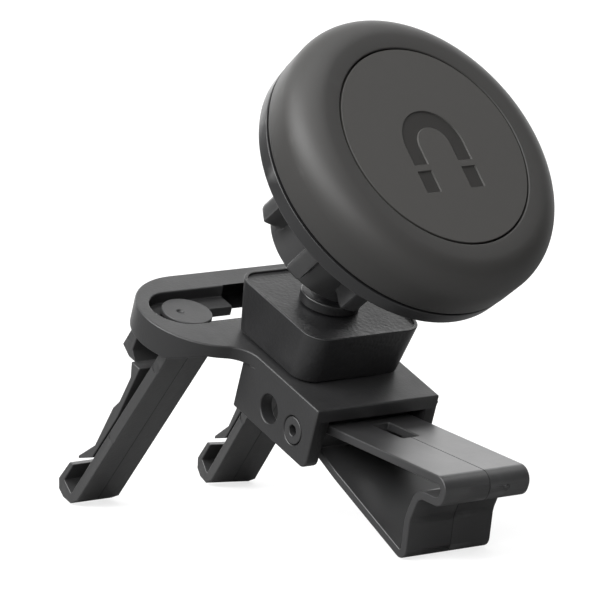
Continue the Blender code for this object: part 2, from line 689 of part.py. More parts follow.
def make_slider(side, frame):
    """The button that rides on the ledges, with its shank down to the leg, and its washer."""
    button_low = -LEDGE_SINK + GAP
    shank = LEDGE_GAP / 2 - SHANK_CLEARANCE
    button = rod(side + "_slide_button", BUTTON_RADIUS, button_low, button_low + BUTTON_THICKNESS,
                 parent=frame)
    add(button, rod(side + "_shank", shank, -RING_HEIGHT - SHANK_DEPTH, button_low + BUTTON_THICKNESS / 2,
                    parent=frame))
    finish(button, BLACK_PLASTIC, 0.5)
    washer_high = -LEDGE_SINK - LEDGE_THICKNESS - GAP
    inner, outer = shank + GAP, SLOT_WIDTH / 2 - SLOT_NEAR_WALL
    washer = [(inner, washer_high - WASHER_THICKNESS), (outer, washer_high - WASHER_THICKNESS),
              (outer, washer_high), (inner, washer_high)]
    finish(lathe(side + "_slide_washer", washer, frame, 24), STEEL, 0.3, 1.0)


def make_leg(side, frame):
    half = LEG_WIDTH / 2
    leg = prism(side + "_hook_leg", leg_outline(), -half, half, "X", frame)
    cut(leg, rod(side + "_leg_socket", LEDGE_GAP / 2 - SHANK_CLEARANCE + PIN_HOLE_CLEARANCE,
                 -SHANK_DEPTH - GAP, MM, parent=frame))
    finish(leg, BLACK_PLASTIC, 0.45)
    pivot = Vector(on_leg(LEVER_PIVOT, LEG_PLATE + GAP))
    hinge = anchor(side + "_lever_hinge", frame, (0, pivot.x, pivot.y))
    outline = [tuple(Vector(point) - pivot) for point in lever_outline()]
    finish(prism(side + "_release_lever", outline, -half, half, "X", hinge), BLACK_PLASTIC, 0.45)


for leg_side, leg_offset, leg_swivel in (("left", LEFT_LEG_OFFSET, LEFT_LEG_SWIVEL),
                                         ("right", RIGHT_LEG_OFFSET, RIGHT_LEG_SWIVEL)):
    slide = anchor(leg_side + "_slide", bracket, (leg_offset, slot_centre_y, 0))
    make_slider(leg_side, slide)
    make_leg(leg_side, anchor(leg_side + "_swivel", slide, (0, 0, -RING_HEIGHT), (0, 0, leg_swivel)))

# ---------------------------------------------------------------- foot


def foot_path():
    """Side view of the loop's middle line, out along the top, round the curl and back below."""
    sheet = FOOT_SHEET
    return rounded([
        (-PIN_RADIUS - sheet * 0.5, PIN_RADIUS * 0.7, 0),
        (-FOOT_REACH, FOOT_RISE, FOOT_CURL * 0.42),
        (-FOOT_REACH + sheet * 0.2, FOOT_RISE - FOOT_CURL, FOOT_CURL * 0.42),
        (-FOOT_HEEL_REACH + sheet * 0.2, FOOT_RISE - FOOT_CURL * 1.38, sheet * 1.8),
        (-FOOT_HEEL_REACH + sheet * 0.8, -FOOT_HEEL_DROP * 0.1, sheet * 4),
        (-FOOT_HEEL_REACH, -FOOT_HEEL_DROP, sheet * 0.7),
        (-FOOT_HEEL_REACH * 0.29, -FOOT_HEEL_DROP * 0.56, sheet * 6),
        (-PIN_RADIUS * 0.5, -PIN_RADIUS * 1.05, 0)])


def make_foot():
    half = FOOT_WIDTH / 2
    barrel = PIN_RADIUS + FOOT_BARREL
    foot = prism("foot", ribbon(foot_path(), FOOT_SHEET), -half, half, "X", foot_hinge)
    add(foot, rod("foot_barrel", barrel, -half, half, parent=foot_hinge, along="X"))
    cut(foot,
        rod("foot_bore", PIN_RADIUS + PIN_HOLE_CLEARANCE, -half - MM, half + MM, parent=foot_hinge, along="X"),
        block("foot_slot", (FOOT_SLOT_OFFSET - FOOT_SLOT_WIDTH / 2, -FOOT_SLOT_END, 0),
              (FOOT_SLOT_OFFSET + FOOT_SLOT_WIDTH / 2, -FOOT_SLOT_START, FOOT_RISE), foot_hinge))
    finish(foot, BLACK_PLASTIC, 0.4)


def make_foot_pin():
    half = BODY_WIDTH / 2
    pin = rod("foot_pivot_pin", PIN_RADIUS, -half, half, parent=foot_hinge, along="X")
    cut(pin, rod("pin_bore", PIN_BORE, -half - MM, half + MM, parent=foot_hinge, along="X", steps=16))
    finish(pin, GREY_PLASTIC, 0.4)


make_foot()
make_foot_pin()

# ---------------------------------------------------------------- standing on a floor


def lowest(points, pitch):
    """Lowest height of (y, z) points of the bracket frame when it is pitched back."""
    return min(y * math.sin(pitch) + z * math.cos(pitch) for y, z in points)


def standing_pitch():
    """The pitch at which the hooks and the foot's heel are level."""
    hooks = [(y + slot_centre_y, z - RING_HEIGHT) for y, z in leg_outline()]
    heel = [(y + PIN_SETBACK, z - PIN_DROP) for y, z in ribbon(foot_path(), FOOT_SHEET)]
    low, high = 0.0, math.pi / 3
    for _ in range(50):
        middle = (low + high) / 2
        if lowest(hooks, middle) < lowest(heel, middle):
            low = middle
        else:
            high = middle
    return low


def stand():
    """Pitches the bracket, then puts the box's bottom centre at the origin."""
    bracket.rotation_euler.x = standing_pitch()
    bpy.context.view_layer.update()
    shown = [o for o in bpy.context.scene.objects if o.type == "MESH" and not o.hide_render]
    view = bpy.context.evaluated_depsgraph_get()
    corners = []
    for piece in shown:
        mesh = piece.evaluated_get(view).to_mesh()
        corners += [piece.matrix_world @ vertex.co for vertex in mesh.vertices]
    low = [min(point[i] for point in corners) for i in range(3)]
    high = [max(point[i] for point in corners) for i in range(3)]
    bracket.location = (-(low[0] + high[0]) / 2, -(low[1] + high[1]) / 2, -low[2])


stand()
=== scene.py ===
import json
import math

import bmesh
import bpy
from mathutils import Matrix, Vector


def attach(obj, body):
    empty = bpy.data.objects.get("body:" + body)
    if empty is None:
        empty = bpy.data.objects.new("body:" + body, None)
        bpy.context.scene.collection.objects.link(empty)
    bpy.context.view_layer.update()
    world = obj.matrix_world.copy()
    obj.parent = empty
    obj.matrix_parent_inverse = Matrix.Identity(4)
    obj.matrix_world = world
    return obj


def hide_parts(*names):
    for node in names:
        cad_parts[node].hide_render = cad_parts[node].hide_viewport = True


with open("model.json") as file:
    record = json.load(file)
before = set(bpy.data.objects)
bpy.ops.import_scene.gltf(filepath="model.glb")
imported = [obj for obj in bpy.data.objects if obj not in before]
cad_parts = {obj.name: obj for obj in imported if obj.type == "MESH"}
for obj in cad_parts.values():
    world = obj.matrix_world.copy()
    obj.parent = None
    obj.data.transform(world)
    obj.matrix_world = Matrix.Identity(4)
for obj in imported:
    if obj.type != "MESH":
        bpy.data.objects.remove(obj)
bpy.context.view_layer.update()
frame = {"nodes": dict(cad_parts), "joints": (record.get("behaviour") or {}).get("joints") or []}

# ---------------------------------------------------------------- camera
# A long lens from the front left, a little above the floor, aimed at the middle of the mount. Its
# place is measured from the middle of the foot's pin.
CAMERA_FROM_PIN = Vector((-0.42410, -0.58853, 0.11135))
CAMERA_RIGHT = Vector((0.81537, -0.57838, -0.02559))
CAMERA_FORWARD = Vector((0.57134, 0.81101, -0.12588))
CAMERA_LENS = 283.97

joints = {joint["name"]: joint for joint in frame["joints"]}


def joint_place(name):
    return Vector(joints[name]["pos_m"])


def joint_line(name):
    return Vector(joints[name]["axis"]).normalized()


camera_data = bpy.data.cameras.new("studio_camera")
camera_data.lens = CAMERA_LENS
camera_data.sensor_width = 36
camera_data.clip_start = 0.05
camera = bpy.data.objects.new("studio_camera", camera_data)
bpy.context.scene.collection.objects.link(camera)
camera_forward = CAMERA_FORWARD.normalized()
camera_up = CAMERA_RIGHT.cross(camera_forward).normalized()
camera_side = camera_forward.cross(camera_up)
camera.matrix_world = Matrix.Translation(joint_place("foot_fold") + CAMERA_FROM_PIN) @ Matrix(
    (camera_side, camera_up, -camera_forward)).transposed().to_4x4()
bpy.context.scene.camera = camera

# ---------------------------------------------------------------- bracket body
# One black moulding: a channel with two side walls, and a slotted ring behind it whose sunk ledge
# carries the sliding buttons. The edges are softened by the mould and the skin is spark grained.
MM = 0.001
FIT = 0.3 * MM                  # between two pieces that touch
BODY_WIDTH = 23.2 * MM
BODY_LENGTH = 20.6 * MM
BODY_WALL = 2.4 * MM
BODY_PLATE = 2.2 * MM           # roof of the channel, and web up to the slot
WALL_HEIGHT = 10.5 * MM
WALL_CORNER = 1.5 * MM
RING_LENGTH = 45.9 * MM
RING_DEPTH = 23.4 * MM
RING_HEIGHT = 4.6 * MM
RING_FILLET = 4.4 * MM
WEB_RAMP = 4.4 * MM
SLOT_WIDTH = 10.2 * MM
SLOT_END_WALL = 2.55 * MM
SLOT_NEAR_WALL = 2.05 * MM
SLOT_FAR_WALL = 4.9 * MM
LEDGE_SINK = 1.9 * MM
LEDGE_THICKNESS = 1.7 * MM
LEDGE_GAP = 3.4 * MM
WINDOW_LENGTH = 8.0 * MM
PIN_RADIUS = 2.3 * MM
PIN_SETBACK = 5.0 * MM
PIN_DROP = 6.2 * MM
SPARE_HOLE_STEP = 6.75 * MM
NECK_SETBACK = 17.4 * MM
SCREW_HOLE = 1.3 * MM
SCREW_SPREAD = 5.9 * MM
BODY_EDGE = 0.28 * MM


def axes(at, across, up):
    """A matrix for a piece drawn about its own origin: X is across, Z is up."""
    across = (across - up * across.dot(up)).normalized()
    return Matrix.Translation(at) @ Matrix((across, up.cross(across), up)).transposed().to_4x4()


bracket_up = joint_line("left_swivel")
bracket_across = Vector((1, 0, 0))
bracket_back = bracket_up.cross(bracket_across)
bracket_at = joint_place("foot_fold") - bracket_back * PIN_SETBACK + bracket_up * PIN_DROP
bracket = axes(bracket_at, bracket_across, bracket_up)


def arc(centre, radius, start, end, steps):
    """Points on an arc, both ends included, angles in degrees."""
    turns = [math.radians(start + (end - start) * i / steps) for i in range(steps + 1)]
    return [(centre[0] + radius * math.cos(t), centre[1] + radius * math.sin(t)) for t in turns]


def new_piece(name, build, at):
    """A mesh drawn by build(bm) in the piece's own frame, then set in its place."""
    bm = bmesh.new()
    build(bm)
    bmesh.ops.remove_doubles(bm, verts=bm.verts, dist=0.002 * MM)
    bmesh.ops.recalc_face_normals(bm, faces=bm.faces)
    mesh = bpy.data.meshes.new(name)
    bm.to_mesh(mesh)
    bm.free()
    piece = bpy.data.objects.new(name, mesh)
    bpy.context.scene.collection.objects.link(piece)
    mesh.transform(at)
    return piece


def slab(name, outline, low, high, at, sideways=False):
    """An outline pushed from low to high along Z, or along X for an outline of (y, z) points."""
    def build(bm):
        place = (lambda a, b, c: (c, a, b)) if sideways else (lambda a, b, c: (a, b, c))
        floor = [bm.verts.new(place(a, b, low)) for a, b in outline]
        roof = [bm.verts.new(place(a, b, high)) for a, b in outline]
        bm.faces.new(floor)
        bm.faces.new(roof)
        for i in range(len(outline)):
            j = (i + 1) % len(outline)
            bm.faces.new((floor[i], floor[j], roof[j], roof[i]))
    return new_piece(name, build, at)


def peg(name, radius, low, high, at, centre=(0, 0), sideways=False, steps=48):
    return slab(name, arc(centre, radius, 0, 360, steps)[:-1], low, high, at, sideways)


def brick(name, low, high, at):
    """A box between two opposite corners."""
    outline = [(low[0], low[1]), (high[0], low[1]), (high[0], high[1]), (low[0], high[1])]
    return slab(name, outline, low[2], high[2], at)


def fix_mesh(piece):
    """Works the modifiers into the mesh."""
    view = bpy.context.evaluated_depsgraph_get()
    mesh = bpy.data.meshes.new_from_object(piece.evaluated_get(view))
    piece.modifiers.clear()
    piece.data = mesh
    return piece


def shape(piece, operation, tools):
    """Cuts or joins the piece with tools, which are then thrown away."""
    for tool in tools:
        step = piece.modifiers.new(tool.name, "BOOLEAN")
        step.operation = operation
        step.solver = "EXACT"
        step.object = tool
    fix_mesh(piece)
    for tool in tools:
        bpy.data.objects.remove(tool, do_unlink=True)
    return piece


def carve(piece, *tools):
    return shape(piece, "DIFFERENCE", tools)


def weld(piece, *tools):
    return shape(piece, "UNION", tools)


def soften(piece, width, steps=3, sharper_than=38):
    """Rounds every edge sharper than an angle, as a mould's corners are, and evens the shading."""
    bm = bmesh.new()
    bm.from_mesh(piece.data)
    bmesh.ops.remove_doubles(bm, verts=bm.verts, dist=0.01 * MM)
    bmesh.ops.dissolve_limit(bm, angle_limit=math.radians(1), verts=bm.verts, edges=bm.edges)
    bm.to_mesh(piece.data)
    bm.free()
    bevel = piece.modifiers.new("soft_edges", "BEVEL")
    bevel.width = width
    bevel.segments = steps
    bevel.limit_method = "ANGLE"
    bevel.angle_limit = math.radians(sharper_than)
    bevel.use_clamp_overlap = False
    bevel.miter_outer = "MITER_ARC"
    fix_mesh(piece)
    piece.data.shade_smooth()
    return flatten(piece)


def flatten(piece):
    """Lets the broad faces rule the shading, so that they look flat up to their rounded edges."""
    piece.modifiers.new("even_shading", "WEIGHTED_NORMAL").keep_sharp = True
    return fix_mesh(piece)


def put_on(piece, body, nodes, finish):
    """Gives the piece its finish, and sets it on its body in the place of the plain solids."""
    finish_of_face = [face.material_index for face in piece.data.polygons]
    piece.data.materials.clear()
    piece.data.materials.append(finish)
    piece.data.polygons.foreach_set("material_index", finish_of_face)
    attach(piece, body)
    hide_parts(*nodes)
    return piece


def new_group(name, inputs, outputs):
    """A node group with named sockets, given as (name, kind, value)."""
    group = bpy.data.node_groups.new(name, "ShaderNodeTree")
    for direction, sockets in (("INPUT", inputs), ("OUTPUT", outputs)):
        for label, kind, *value in sockets:
            socket = group.interface.new_socket(label, in_out=direction, socket_type="NodeSocket" + kind)
            if value:
                socket.default_value = value[0]
    return group, group.nodes.new("NodeGroupInput"), group.nodes.new("NodeGroupOutput")


def wire(tree, kind, settings=None, **links):
    """A node with its settings; links feed sockets by name, from a socket or with a value."""
    node = tree.nodes.new(kind)
    for key, value in (settings or {}).items():
        setattr(node, key, value)
    for key, value in links.items():
        socket = node.inputs[int(key[1:])] if key[1:].isdigit() else node.inputs[key.replace("_", " ")]
        if isinstance(value, bpy.types.NodeSocket):
            tree.links.new(value, socket)
        else:
            socket.default_value = value
    return node


def make_mould_skin():
    """Spark grain of a mould: a height for the bump and a slow patchiness of the sheen."""
    group, given, out = new_group(
        "mould_skin",
        [("Grain Size", "Float", 2500.0), ("Pitting", "Float", 0.5)],
        [("Height", "Float"), ("Patches", "Float")])
    spot = group.nodes.new("ShaderNodeTexCoord").outputs["Object"]
    fine = wire(group, "ShaderNodeTexNoise", Vector=spot, Scale=given.outputs["Grain Size"], Detail=3.0)
    cells = wire(group, "ShaderNodeTexVoronoi", Vector=spot, Scale=given.outputs["Grain Size"])
    pits = wire(group, "ShaderNodeMath", {"operation": "MULTIPLY"}, _0=cells.outputs["Distance"],
                _1=given.outputs["Pitting"])
    height = wire(group, "ShaderNodeMath", {"operation": "ADD"}, _0=fine.outputs["Fac"], _1=pits.outputs[0])
    slow = wire(group, "ShaderNodeTexNoise", Vector=spot, Scale=160.0, Detail=4.0, Roughness=0.6)
    group.links.new(height.outputs[0], out.inputs["Height"])
    group.links.new(slow.outputs["Fac"], out.inputs["Patches"])
    return group


def make_painted_edge_highlights():
    """Painted highlight: convex edges painted a shade paler, broken up by noise."""
    group, given, out = new_group(
        "painted_edge_highlights",
        [("Colour", "Color", (0.03, 0.03, 0.03, 1)), ("Rubbed Colour", "Color", (0.08, 0.08, 0.08, 1)),
         ("Amount", "Float", 0.5)],
        [("Colour", "Color")])
    # Painted highlight: the sharpest convex edges get a paler colour in place of the glints that light puts
    # on them.
    edge = group.nodes.new("ShaderNodeNewGeometry").outputs["Pointiness"]
    raised = wire(group, "ShaderNodeMapRange", {"clamp": True}, Value=edge)
    raised.inputs["From Min"].default_value = 0.53
    raised.inputs["From Max"].default_value = 0.66
    spot = group.nodes.new("ShaderNodeTexCoord").outputs["Object"]
    broken = wire(group, "ShaderNodeTexNoise", Vector=spot, Scale=700.0, Detail=3.0)
    patchy = wire(group, "ShaderNodeMath", {"operation": "MULTIPLY"}, _0=raised.outputs[0],
                  _1=broken.outputs["Fac"])
    share = wire(group, "ShaderNodeMath", {"operation": "MULTIPLY", "use_clamp": True},
                 _0=patchy.outputs[0], _1=given.outputs["Amount"])
    mixed = wire(group, "ShaderNodeMix", {"data_type": "RGBA"}, _0=share.outputs[0],
                 _6=given.outputs["Colour"], _7=given.outputs["Rubbed Colour"])
    group.links.new(mixed.outputs[2], out.inputs["Colour"])
    return group


mould_skin = make_mould_skin()
painted_edge_highlights = make_painted_edge_highlights()


def moulded(name, colour, edge_highlight, rough, grain, bump, pitting=0.5, uneven=0.12, amount=0.8, **gloss):
    """A moulded plastic or rubber: grained skin, patchy sheen and a painted highlight on convex edges."""
    material = bpy.data.materials.new(name)
    material.use_nodes = True
    tree = material.node_tree
    shader = tree.nodes["Principled BSDF"]
    skin = wire(tree, "ShaderNodeGroup", {"node_tree": mould_skin}, Grain_Size=grain, Pitting=pitting)
    # The paler colour on the convex edges is a painted highlight.
    edges = wire(tree, "ShaderNodeGroup", {"node_tree": painted_edge_highlights}, Colour=(*colour, 1),
                 Rubbed_Colour=(*edge_highlight, 1), Amount=amount)
    sheen = wire(tree, "ShaderNodeMapRange", Value=skin.outputs["Patches"])
    sheen.inputs["From Min"].default_value = 0.3
    sheen.inputs["From Max"].default_value = 0.7
    sheen.inputs["To Min"].default_value = rough - uneven / 2
    sheen.inputs["To Max"].default_value = rough + uneven / 2
    relief = wire(tree, "ShaderNodeBump", Strength=bump, Distance=0.03 * MM, Height=skin.outputs["Height"])
    tree.links.new(edges.outputs["Colour"], shader.inputs["Base Color"])
    tree.links.new(sheen.outputs[0], shader.inputs["Roughness"])
    tree.links.new(relief.outputs["Normal"], shader.inputs["Normal"])
    for socket, value in gloss.items():
        shader.inputs[socket.replace("_", " ")].default_value = value
    return material


def stadium(half_length, half_width, centre_y, steps=24):
    """Plan of a straight slot with round ends."""
    straight = half_length - half_width
    return (arc((straight, centre_y), half_width, -90, 90, steps)
            + arc((-straight, centre_y), half_width, 90, 270, steps))


ring_centre_y = BODY_LENGTH + RING_DEPTH / 2
slot_centre_y = BODY_LENGTH + RING_DEPTH - SLOT_FAR_WALL - SLOT_WIDTH / 2
slot_half_length = RING_LENGTH / 2 - SLOT_END_WALL


def bracket_outline():
    """Plan of the ring, and of the channel's top plate that runs into it."""
    round_end = RING_DEPTH / 2
    straight = RING_LENGTH / 2 - round_end
    edge = BODY_WIDTH / 2
    fillet_x = edge + RING_FILLET
    drop = math.sqrt((round_end + RING_FILLET) ** 2 - (fillet_x - straight) ** 2)
    meet = math.degrees(math.atan2(-drop, fillet_x - straight))
    right = [(edge, 0)]
    right += arc((fillet_x, ring_centre_y - drop), RING_FILLET, 180, 180 + meet, 16)
    right += arc((straight, ring_centre_y), round_end, meet, 90, 44)[1:]
    return right + [(-x, y) for x, y in right[::-1]]


def wall_outline():
    """Side view of one side wall, round at its lower front corner."""
    corner = (WALL_CORNER, WALL_CORNER - WALL_HEIGHT)
    front = arc(corner, WALL_CORNER, 180, 270, 10)
    return ([(0, -BODY_PLATE / 2)] + front
            + [(BODY_LENGTH, -WALL_HEIGHT), (BODY_LENGTH, -BODY_PLATE / 2)])


def make_bracket_body():
    edge = BODY_WIDTH / 2
    channel = edge - BODY_WALL
    slot_half = SLOT_WIDTH / 2
    body = slab("moulded_bracket", bracket_outline(), -RING_HEIGHT, 0, bracket)
    under = -RING_HEIGHT - MM
    ramp_end = slot_centre_y - slot_half - SLOT_NEAR_WALL
    relief = [(-MM, -BODY_PLATE), (ramp_end - WEB_RAMP, -BODY_PLATE), (ramp_end, -RING_HEIGHT),
              (ramp_end, under), (-MM, under)]
    carve(body, slab("plate_relief", relief, -RING_LENGTH / 2, RING_LENGTH / 2, bracket, True))
    weld(body, *[slab("wall", wall_outline(), low, low + BODY_WALL, bracket, True)
                 for low in (-edge, channel)])
    pin_at = (PIN_SETBACK, -PIN_DROP)
    spare_at = (PIN_SETBACK + SPARE_HOLE_STEP, -PIN_DROP)
    carve(body,
          slab("slot", stadium(slot_half_length, slot_half, slot_centre_y), -LEDGE_SINK, MM, bracket),
          slab("slot_below", stadium(slot_half_length, slot_half, slot_centre_y), under,
               -LEDGE_SINK - LEDGE_THICKNESS, bracket),
          slab("track", stadium(slot_half_length - slot_half + LEDGE_GAP, LEDGE_GAP / 2, slot_centre_y),
               under, MM, bracket),
          brick("window", (-WINDOW_LENGTH / 2, slot_centre_y - slot_half, under),
                (WINDOW_LENGTH / 2, slot_centre_y + slot_half, MM), bracket),
          peg("pin_hole", PIN_RADIUS, -BODY_WIDTH, BODY_WIDTH, bracket, pin_at, True),
          peg("spare_hole", PIN_RADIUS, -BODY_WIDTH, BODY_WIDTH, bracket, spare_at, True),
          *[peg("neck_hole", SCREW_HOLE, under, MM, bracket, (x, NECK_SETBACK))
            for x in (-SCREW_SPREAD, SCREW_SPREAD)])
    return soften(body, BODY_EDGE)


bracket_black = moulded("bracket_black", (0.014, 0.014, 0.0145), (0.13, 0.13, 0.13), 0.45, 2200.0, 0.5)
put_on(make_bracket_body(), "bracket", ["bracket_body"], bracket_black)

# ---------------------------------------------------------------- foot pin
# The pin that the folding foot turns on: black nylon, hollow with a six-sided bore, pushed through
# both walls of the channel and flush with them.
PIN_BORE = 0.95 * MM
PIN_BORE_SIDES = 6
PIN_CLEARANCE = 0.12 * MM
PIN_EDGE = 0.2 * MM


def make_foot_pin():
    half = BODY_WIDTH / 2
    pin_at = (PIN_SETBACK, -PIN_DROP)
    pin = peg("hollow_pin", PIN_RADIUS - PIN_CLEARANCE, -half, half, bracket, pin_at, True)
    carve(pin, peg("bore", PIN_BORE, -half - MM, half + MM, bracket, pin_at, True, PIN_BORE_SIDES))
    return soften(pin, PIN_EDGE)


pin_nylon = moulded("pin_nylon", (0.020, 0.020, 0.0205), (0.11, 0.11, 0.11), 0.42, 3000.0, 0.2)
put_on(make_foot_pin(), "bracket", ["foot_pivot_pin"], pin_nylon)

# ---------------------------------------------------------------- neck block
# A hollow square block of grained plastic screwed on the bracket from below. Its top is dished
# within a narrow rim, and the ball stem turns in the middle of it.
NECK_SIDE = 19.8 * MM
NECK_HEIGHT = 8.2 * MM
NECK_CORNER = 3.4 * MM
NECK_FLARE_ACROSS = 0.75 * MM
NECK_FLARE_ALONG = 1.4 * MM
NECK_LEAN_ACROSS = 0.45 * MM
NECK_LEAN_ALONG = 0.2 * MM
NECK_WALL = 1.8 * MM
NECK_ROOF = 2.4 * MM
NECK_RIM = 0.6 * MM
NECK_DISH = 0.35 * MM
SPIGOT_HOLE = 2.9 * MM
NECK_EDGE = 0.16 * MM

neck_top = NECK_HEIGHT + FIT


def neck_plan(height, inset=0.0, steps=12):
    """The block's plan at a height, drawn in from its skin by inset."""
    share = height / NECK_HEIGHT
    middle = (NECK_LEAN_ACROSS * share, NECK_SETBACK + NECK_LEAN_ALONG * share)
    radius = NECK_CORNER - min(inset, NECK_RIM)
    half_x = NECK_SIDE / 2 - inset + NECK_FLARE_ACROSS * share - radius
    half_y = NECK_SIDE / 2 - inset + NECK_FLARE_ALONG * share - radius
    outline = []
    for quarter, (sign_x, sign_y) in enumerate([(1, 1), (-1, 1), (-1, -1), (1, -1)]):
        corner = (middle[0] + sign_x * half_x, middle[1] + sign_y * half_y)
        outline += arc(corner, radius, quarter * 90, quarter * 90 + 90, steps)
    return outline


def loft(name, rings, at, around=False):
    """Joins outlines with as many points each, given as (outline, height). Both ends are closed,
    or, for a ring that runs around a bore, the last outline is joined to the first."""
    def build(bm):
        loops = [[bm.verts.new((x, y, height)) for x, y in outline] for outline, height in rings]
        if around:
            loops.append(loops[0])
        else:
            bm.faces.new(loops[0])
            bm.faces.new(loops[-1])
        for lower, upper in zip(loops, loops[1:]):
            for i in range(len(lower)):
                j = (i + 1) % len(lower)
                bm.faces.new((lower[i], lower[j], upper[j], upper[i]))
    return new_piece(name, build, at)


def make_neck_block():
    neck = loft("grained_neck", [(neck_plan(0), FIT), (neck_plan(NECK_HEIGHT), neck_top)], bracket)
    carve(neck,
          slab("hollow", neck_plan(0, NECK_WALL), -MM, neck_top - NECK_DISH - NECK_ROOF, bracket),
          slab("dish", neck_plan(NECK_HEIGHT, NECK_RIM), neck_top - NECK_DISH, neck_top + MM, bracket),
          peg("spigot_hole", SPIGOT_HOLE, 0, neck_top + MM, bracket, (0, NECK_SETBACK)))
    return soften(neck, NECK_EDGE)


neck_grain = moulded("neck_grain", (0.007, 0.007, 0.0075), (0.16, 0.16, 0.16), 0.44, 1500.0, 0.95, 0.9)
put_on(make_neck_block(), "bracket", ["neck_block"], neck_grain)

# ---------------------------------------------------------------- ball stem
# A black plastic ball on a slim neck and a flange, made as one round part. The flange swivels on the
# neck block, with a short spigot down in the block's roof.
BALL_RADIUS = 5.5 * MM
BALL_HEIGHT = 13.3 * MM
STEM_RADIUS = 2.5 * MM
STEM_FLANGE_RADIUS = 4.8 * MM
STEM_FLANGE = 1.6 * MM
STEM_SPIGOT = 2.6 * MM
STEM_FILLET = 1.0 * MM
STEM_EDGE = 0.3 * MM

ball_at = joint_place("stem_swivel")
stem = axes(ball_at, joint_line("head_tilt"), bracket_up)
ball_centre_z = neck_top + BALL_HEIGHT
stem_foot = neck_top - NECK_DISH + FIT - ball_centre_z


def turned(name, profile, at, steps=96):
    """A profile of (radius, height) points spun about Z, closed on itself or on the axis."""
    def build(bm):
        whole = profile + ([] if profile[0][0] <= 0 and profile[-1][0] <= 0 else [profile[0]])
        rings = []
        for radius, height in whole:
            if radius <= 0:
                rings.append([bm.verts.new((0, 0, height))] * steps)
            else:
                rings.append([bm.verts.new((radius * math.cos(math.tau * i / steps),
                                            radius * math.sin(math.tau * i / steps), height))
                              for i in range(steps)])
        for lower, upper in zip(rings, rings[1:]):
            for i in range(steps):
                j = (i + 1) % steps
                corners = list(dict.fromkeys((lower[i], lower[j], upper[j], upper[i])))
                if len(corners) > 2:
                    bm.faces.new(corners)
    return new_piece(name, build, at)


def even(piece, sharper_than=40):
    """Smooth shading, with the edges sharper than an angle left crisp."""
    piece.data.shade_smooth()
    piece.data.set_sharp_from_angle(angle=math.radians(sharper_than))
    return piece


def make_ball_stem():
    flange_top = stem_foot + STEM_FLANGE
    neck_angle = math.degrees(math.acos(STEM_RADIUS / BALL_RADIUS))
    spigot_low = stem_foot - NECK_ROOF + FIT
    fillet = arc((STEM_RADIUS + STEM_FILLET, flange_top + STEM_FILLET), STEM_FILLET, 270, 180, 8)
    corner = (STEM_FLANGE_RADIUS - STEM_EDGE, flange_top - STEM_EDGE)
    profile = ([(0, spigot_low), (STEM_SPIGOT, spigot_low), (STEM_SPIGOT, stem_foot),
                (STEM_FLANGE_RADIUS, stem_foot)]
               + arc(corner, STEM_EDGE, 0, 90, 5) + fillet
               + arc((0, 0), BALL_RADIUS, -neck_angle, 89, 28) + [(0, BALL_RADIUS)])
    return even(turned("turned_ball_stem", profile, stem))


stem_black = moulded("stem_black", (0.007, 0.007, 0.0075), (0.07, 0.07, 0.07), 0.34, 3200.0, 0.12)
put_on(make_ball_stem(), "ball_stem", ["ball_stem"], stem_black)

# ---------------------------------------------------------------- collar nut
# The clamping nut that squeezes the socket's fingers on the ball. It is moulded in black plastic,
# with blunt wings to turn it by.
SOCKET_OUTER = 8.1 * MM
NUT_REACH = 6.0 * MM
NUT_WALL = 2.1 * MM
NUT_WING_REACH = 3.5 * MM
NUT_WING_WIDTH = 3.5 * MM
NUT_WING_START = 3.4 * MM
NUT_WINGS = 8
NUT_FIRST_WING = 18.0           # degrees
NUT_WING_SLOPE = 0.9 * MM
NUT_WING_END = 1.3 * MM
NUT_EDGE = 0.5 * MM
HEAD_BACK_HEIGHT = 11.6 * MM

nut_bore = SOCKET_OUTER + FIT
nut_outer = nut_bore + NUT_WALL
head_out = joint_line("head_roll")
head = axes(ball_at, joint_line("head_tilt").cross(head_out), head_out)


def winged(shrink=0.0, share=1.0, steps=40):
    """Plan of the nut: a circle with soft-sided wings, shrunk at their ends or left out at share 0."""
    outline = []
    pitch = math.tau / NUT_WINGS
    foot_at = (NUT_WING_WIDTH + NUT_WING_SLOPE - shrink) / 2
    for i in range(NUT_WINGS * steps):
        turn = pitch * i / steps
        off = abs((turn + pitch / 2) % pitch - pitch / 2) * (nut_outer + NUT_WING_REACH)
        rise = min(max((foot_at - off) / NUT_WING_SLOPE, 0), 1)
        radius = nut_outer + (NUT_WING_REACH - shrink) * share * rise * rise * (3 - 2 * rise)
        angle = turn + math.radians(NUT_FIRST_WING)
        outline.append((radius * math.cos(angle), radius * math.sin(angle)))
    return outline


def make_collar_nut():
    top = HEAD_BACK_HEIGHT - FIT
    plain = winged(share=0)

    def scaled(radius):
        return [(x * radius / nut_outer, y * radius / nut_outer) for x, y in plain]

    rings = [(scaled(nut_bore), -NUT_REACH)]
    for x, z in arc((nut_outer - NUT_EDGE, NUT_EDGE - NUT_REACH), NUT_EDGE, -90, 0, 5):
        rings.append((scaled(x), z))
    rings.append((plain, -NUT_WING_START))
    for x, z in arc((0, NUT_WING_END), NUT_WING_END, -90, 0, 6):
        rings.append((winged(NUT_WING_END - x), z - NUT_WING_START))
    rings += [(winged(), top), (scaled(nut_bore), top)]
    return even(loft("winged_nut", rings, head, True), 50)


nut_black = moulded("nut_black", (0.028, 0.028, 0.0285), (0.12, 0.12, 0.12), 0.34, 2600.0, 0.12)
put_on(make_collar_nut(), "collar_nut", ["collar_nut"], nut_black)

# ---------------------------------------------------------------- ball socket
# Four springy fingers round the ball, in one black moulding with the flange that holds them inside
# the head.
SOCKET_WALL = 1.2 * MM
SOCKET_FLANGE_RADIUS = 10.4 * MM
SOCKET_FLANGE = 1.2 * MM
SOCKET_MOUTH = 2.4 * MM
SOCKET_EDGE = 0.2 * MM
SOCKET_CROWN = 0.97             # height of the flat crown as a share of the hollow's radius
SHELL_FLOOR = 1.5 * MM
FINGER_SLIT = 1.0 * MM
FINGER_COUNT = 4


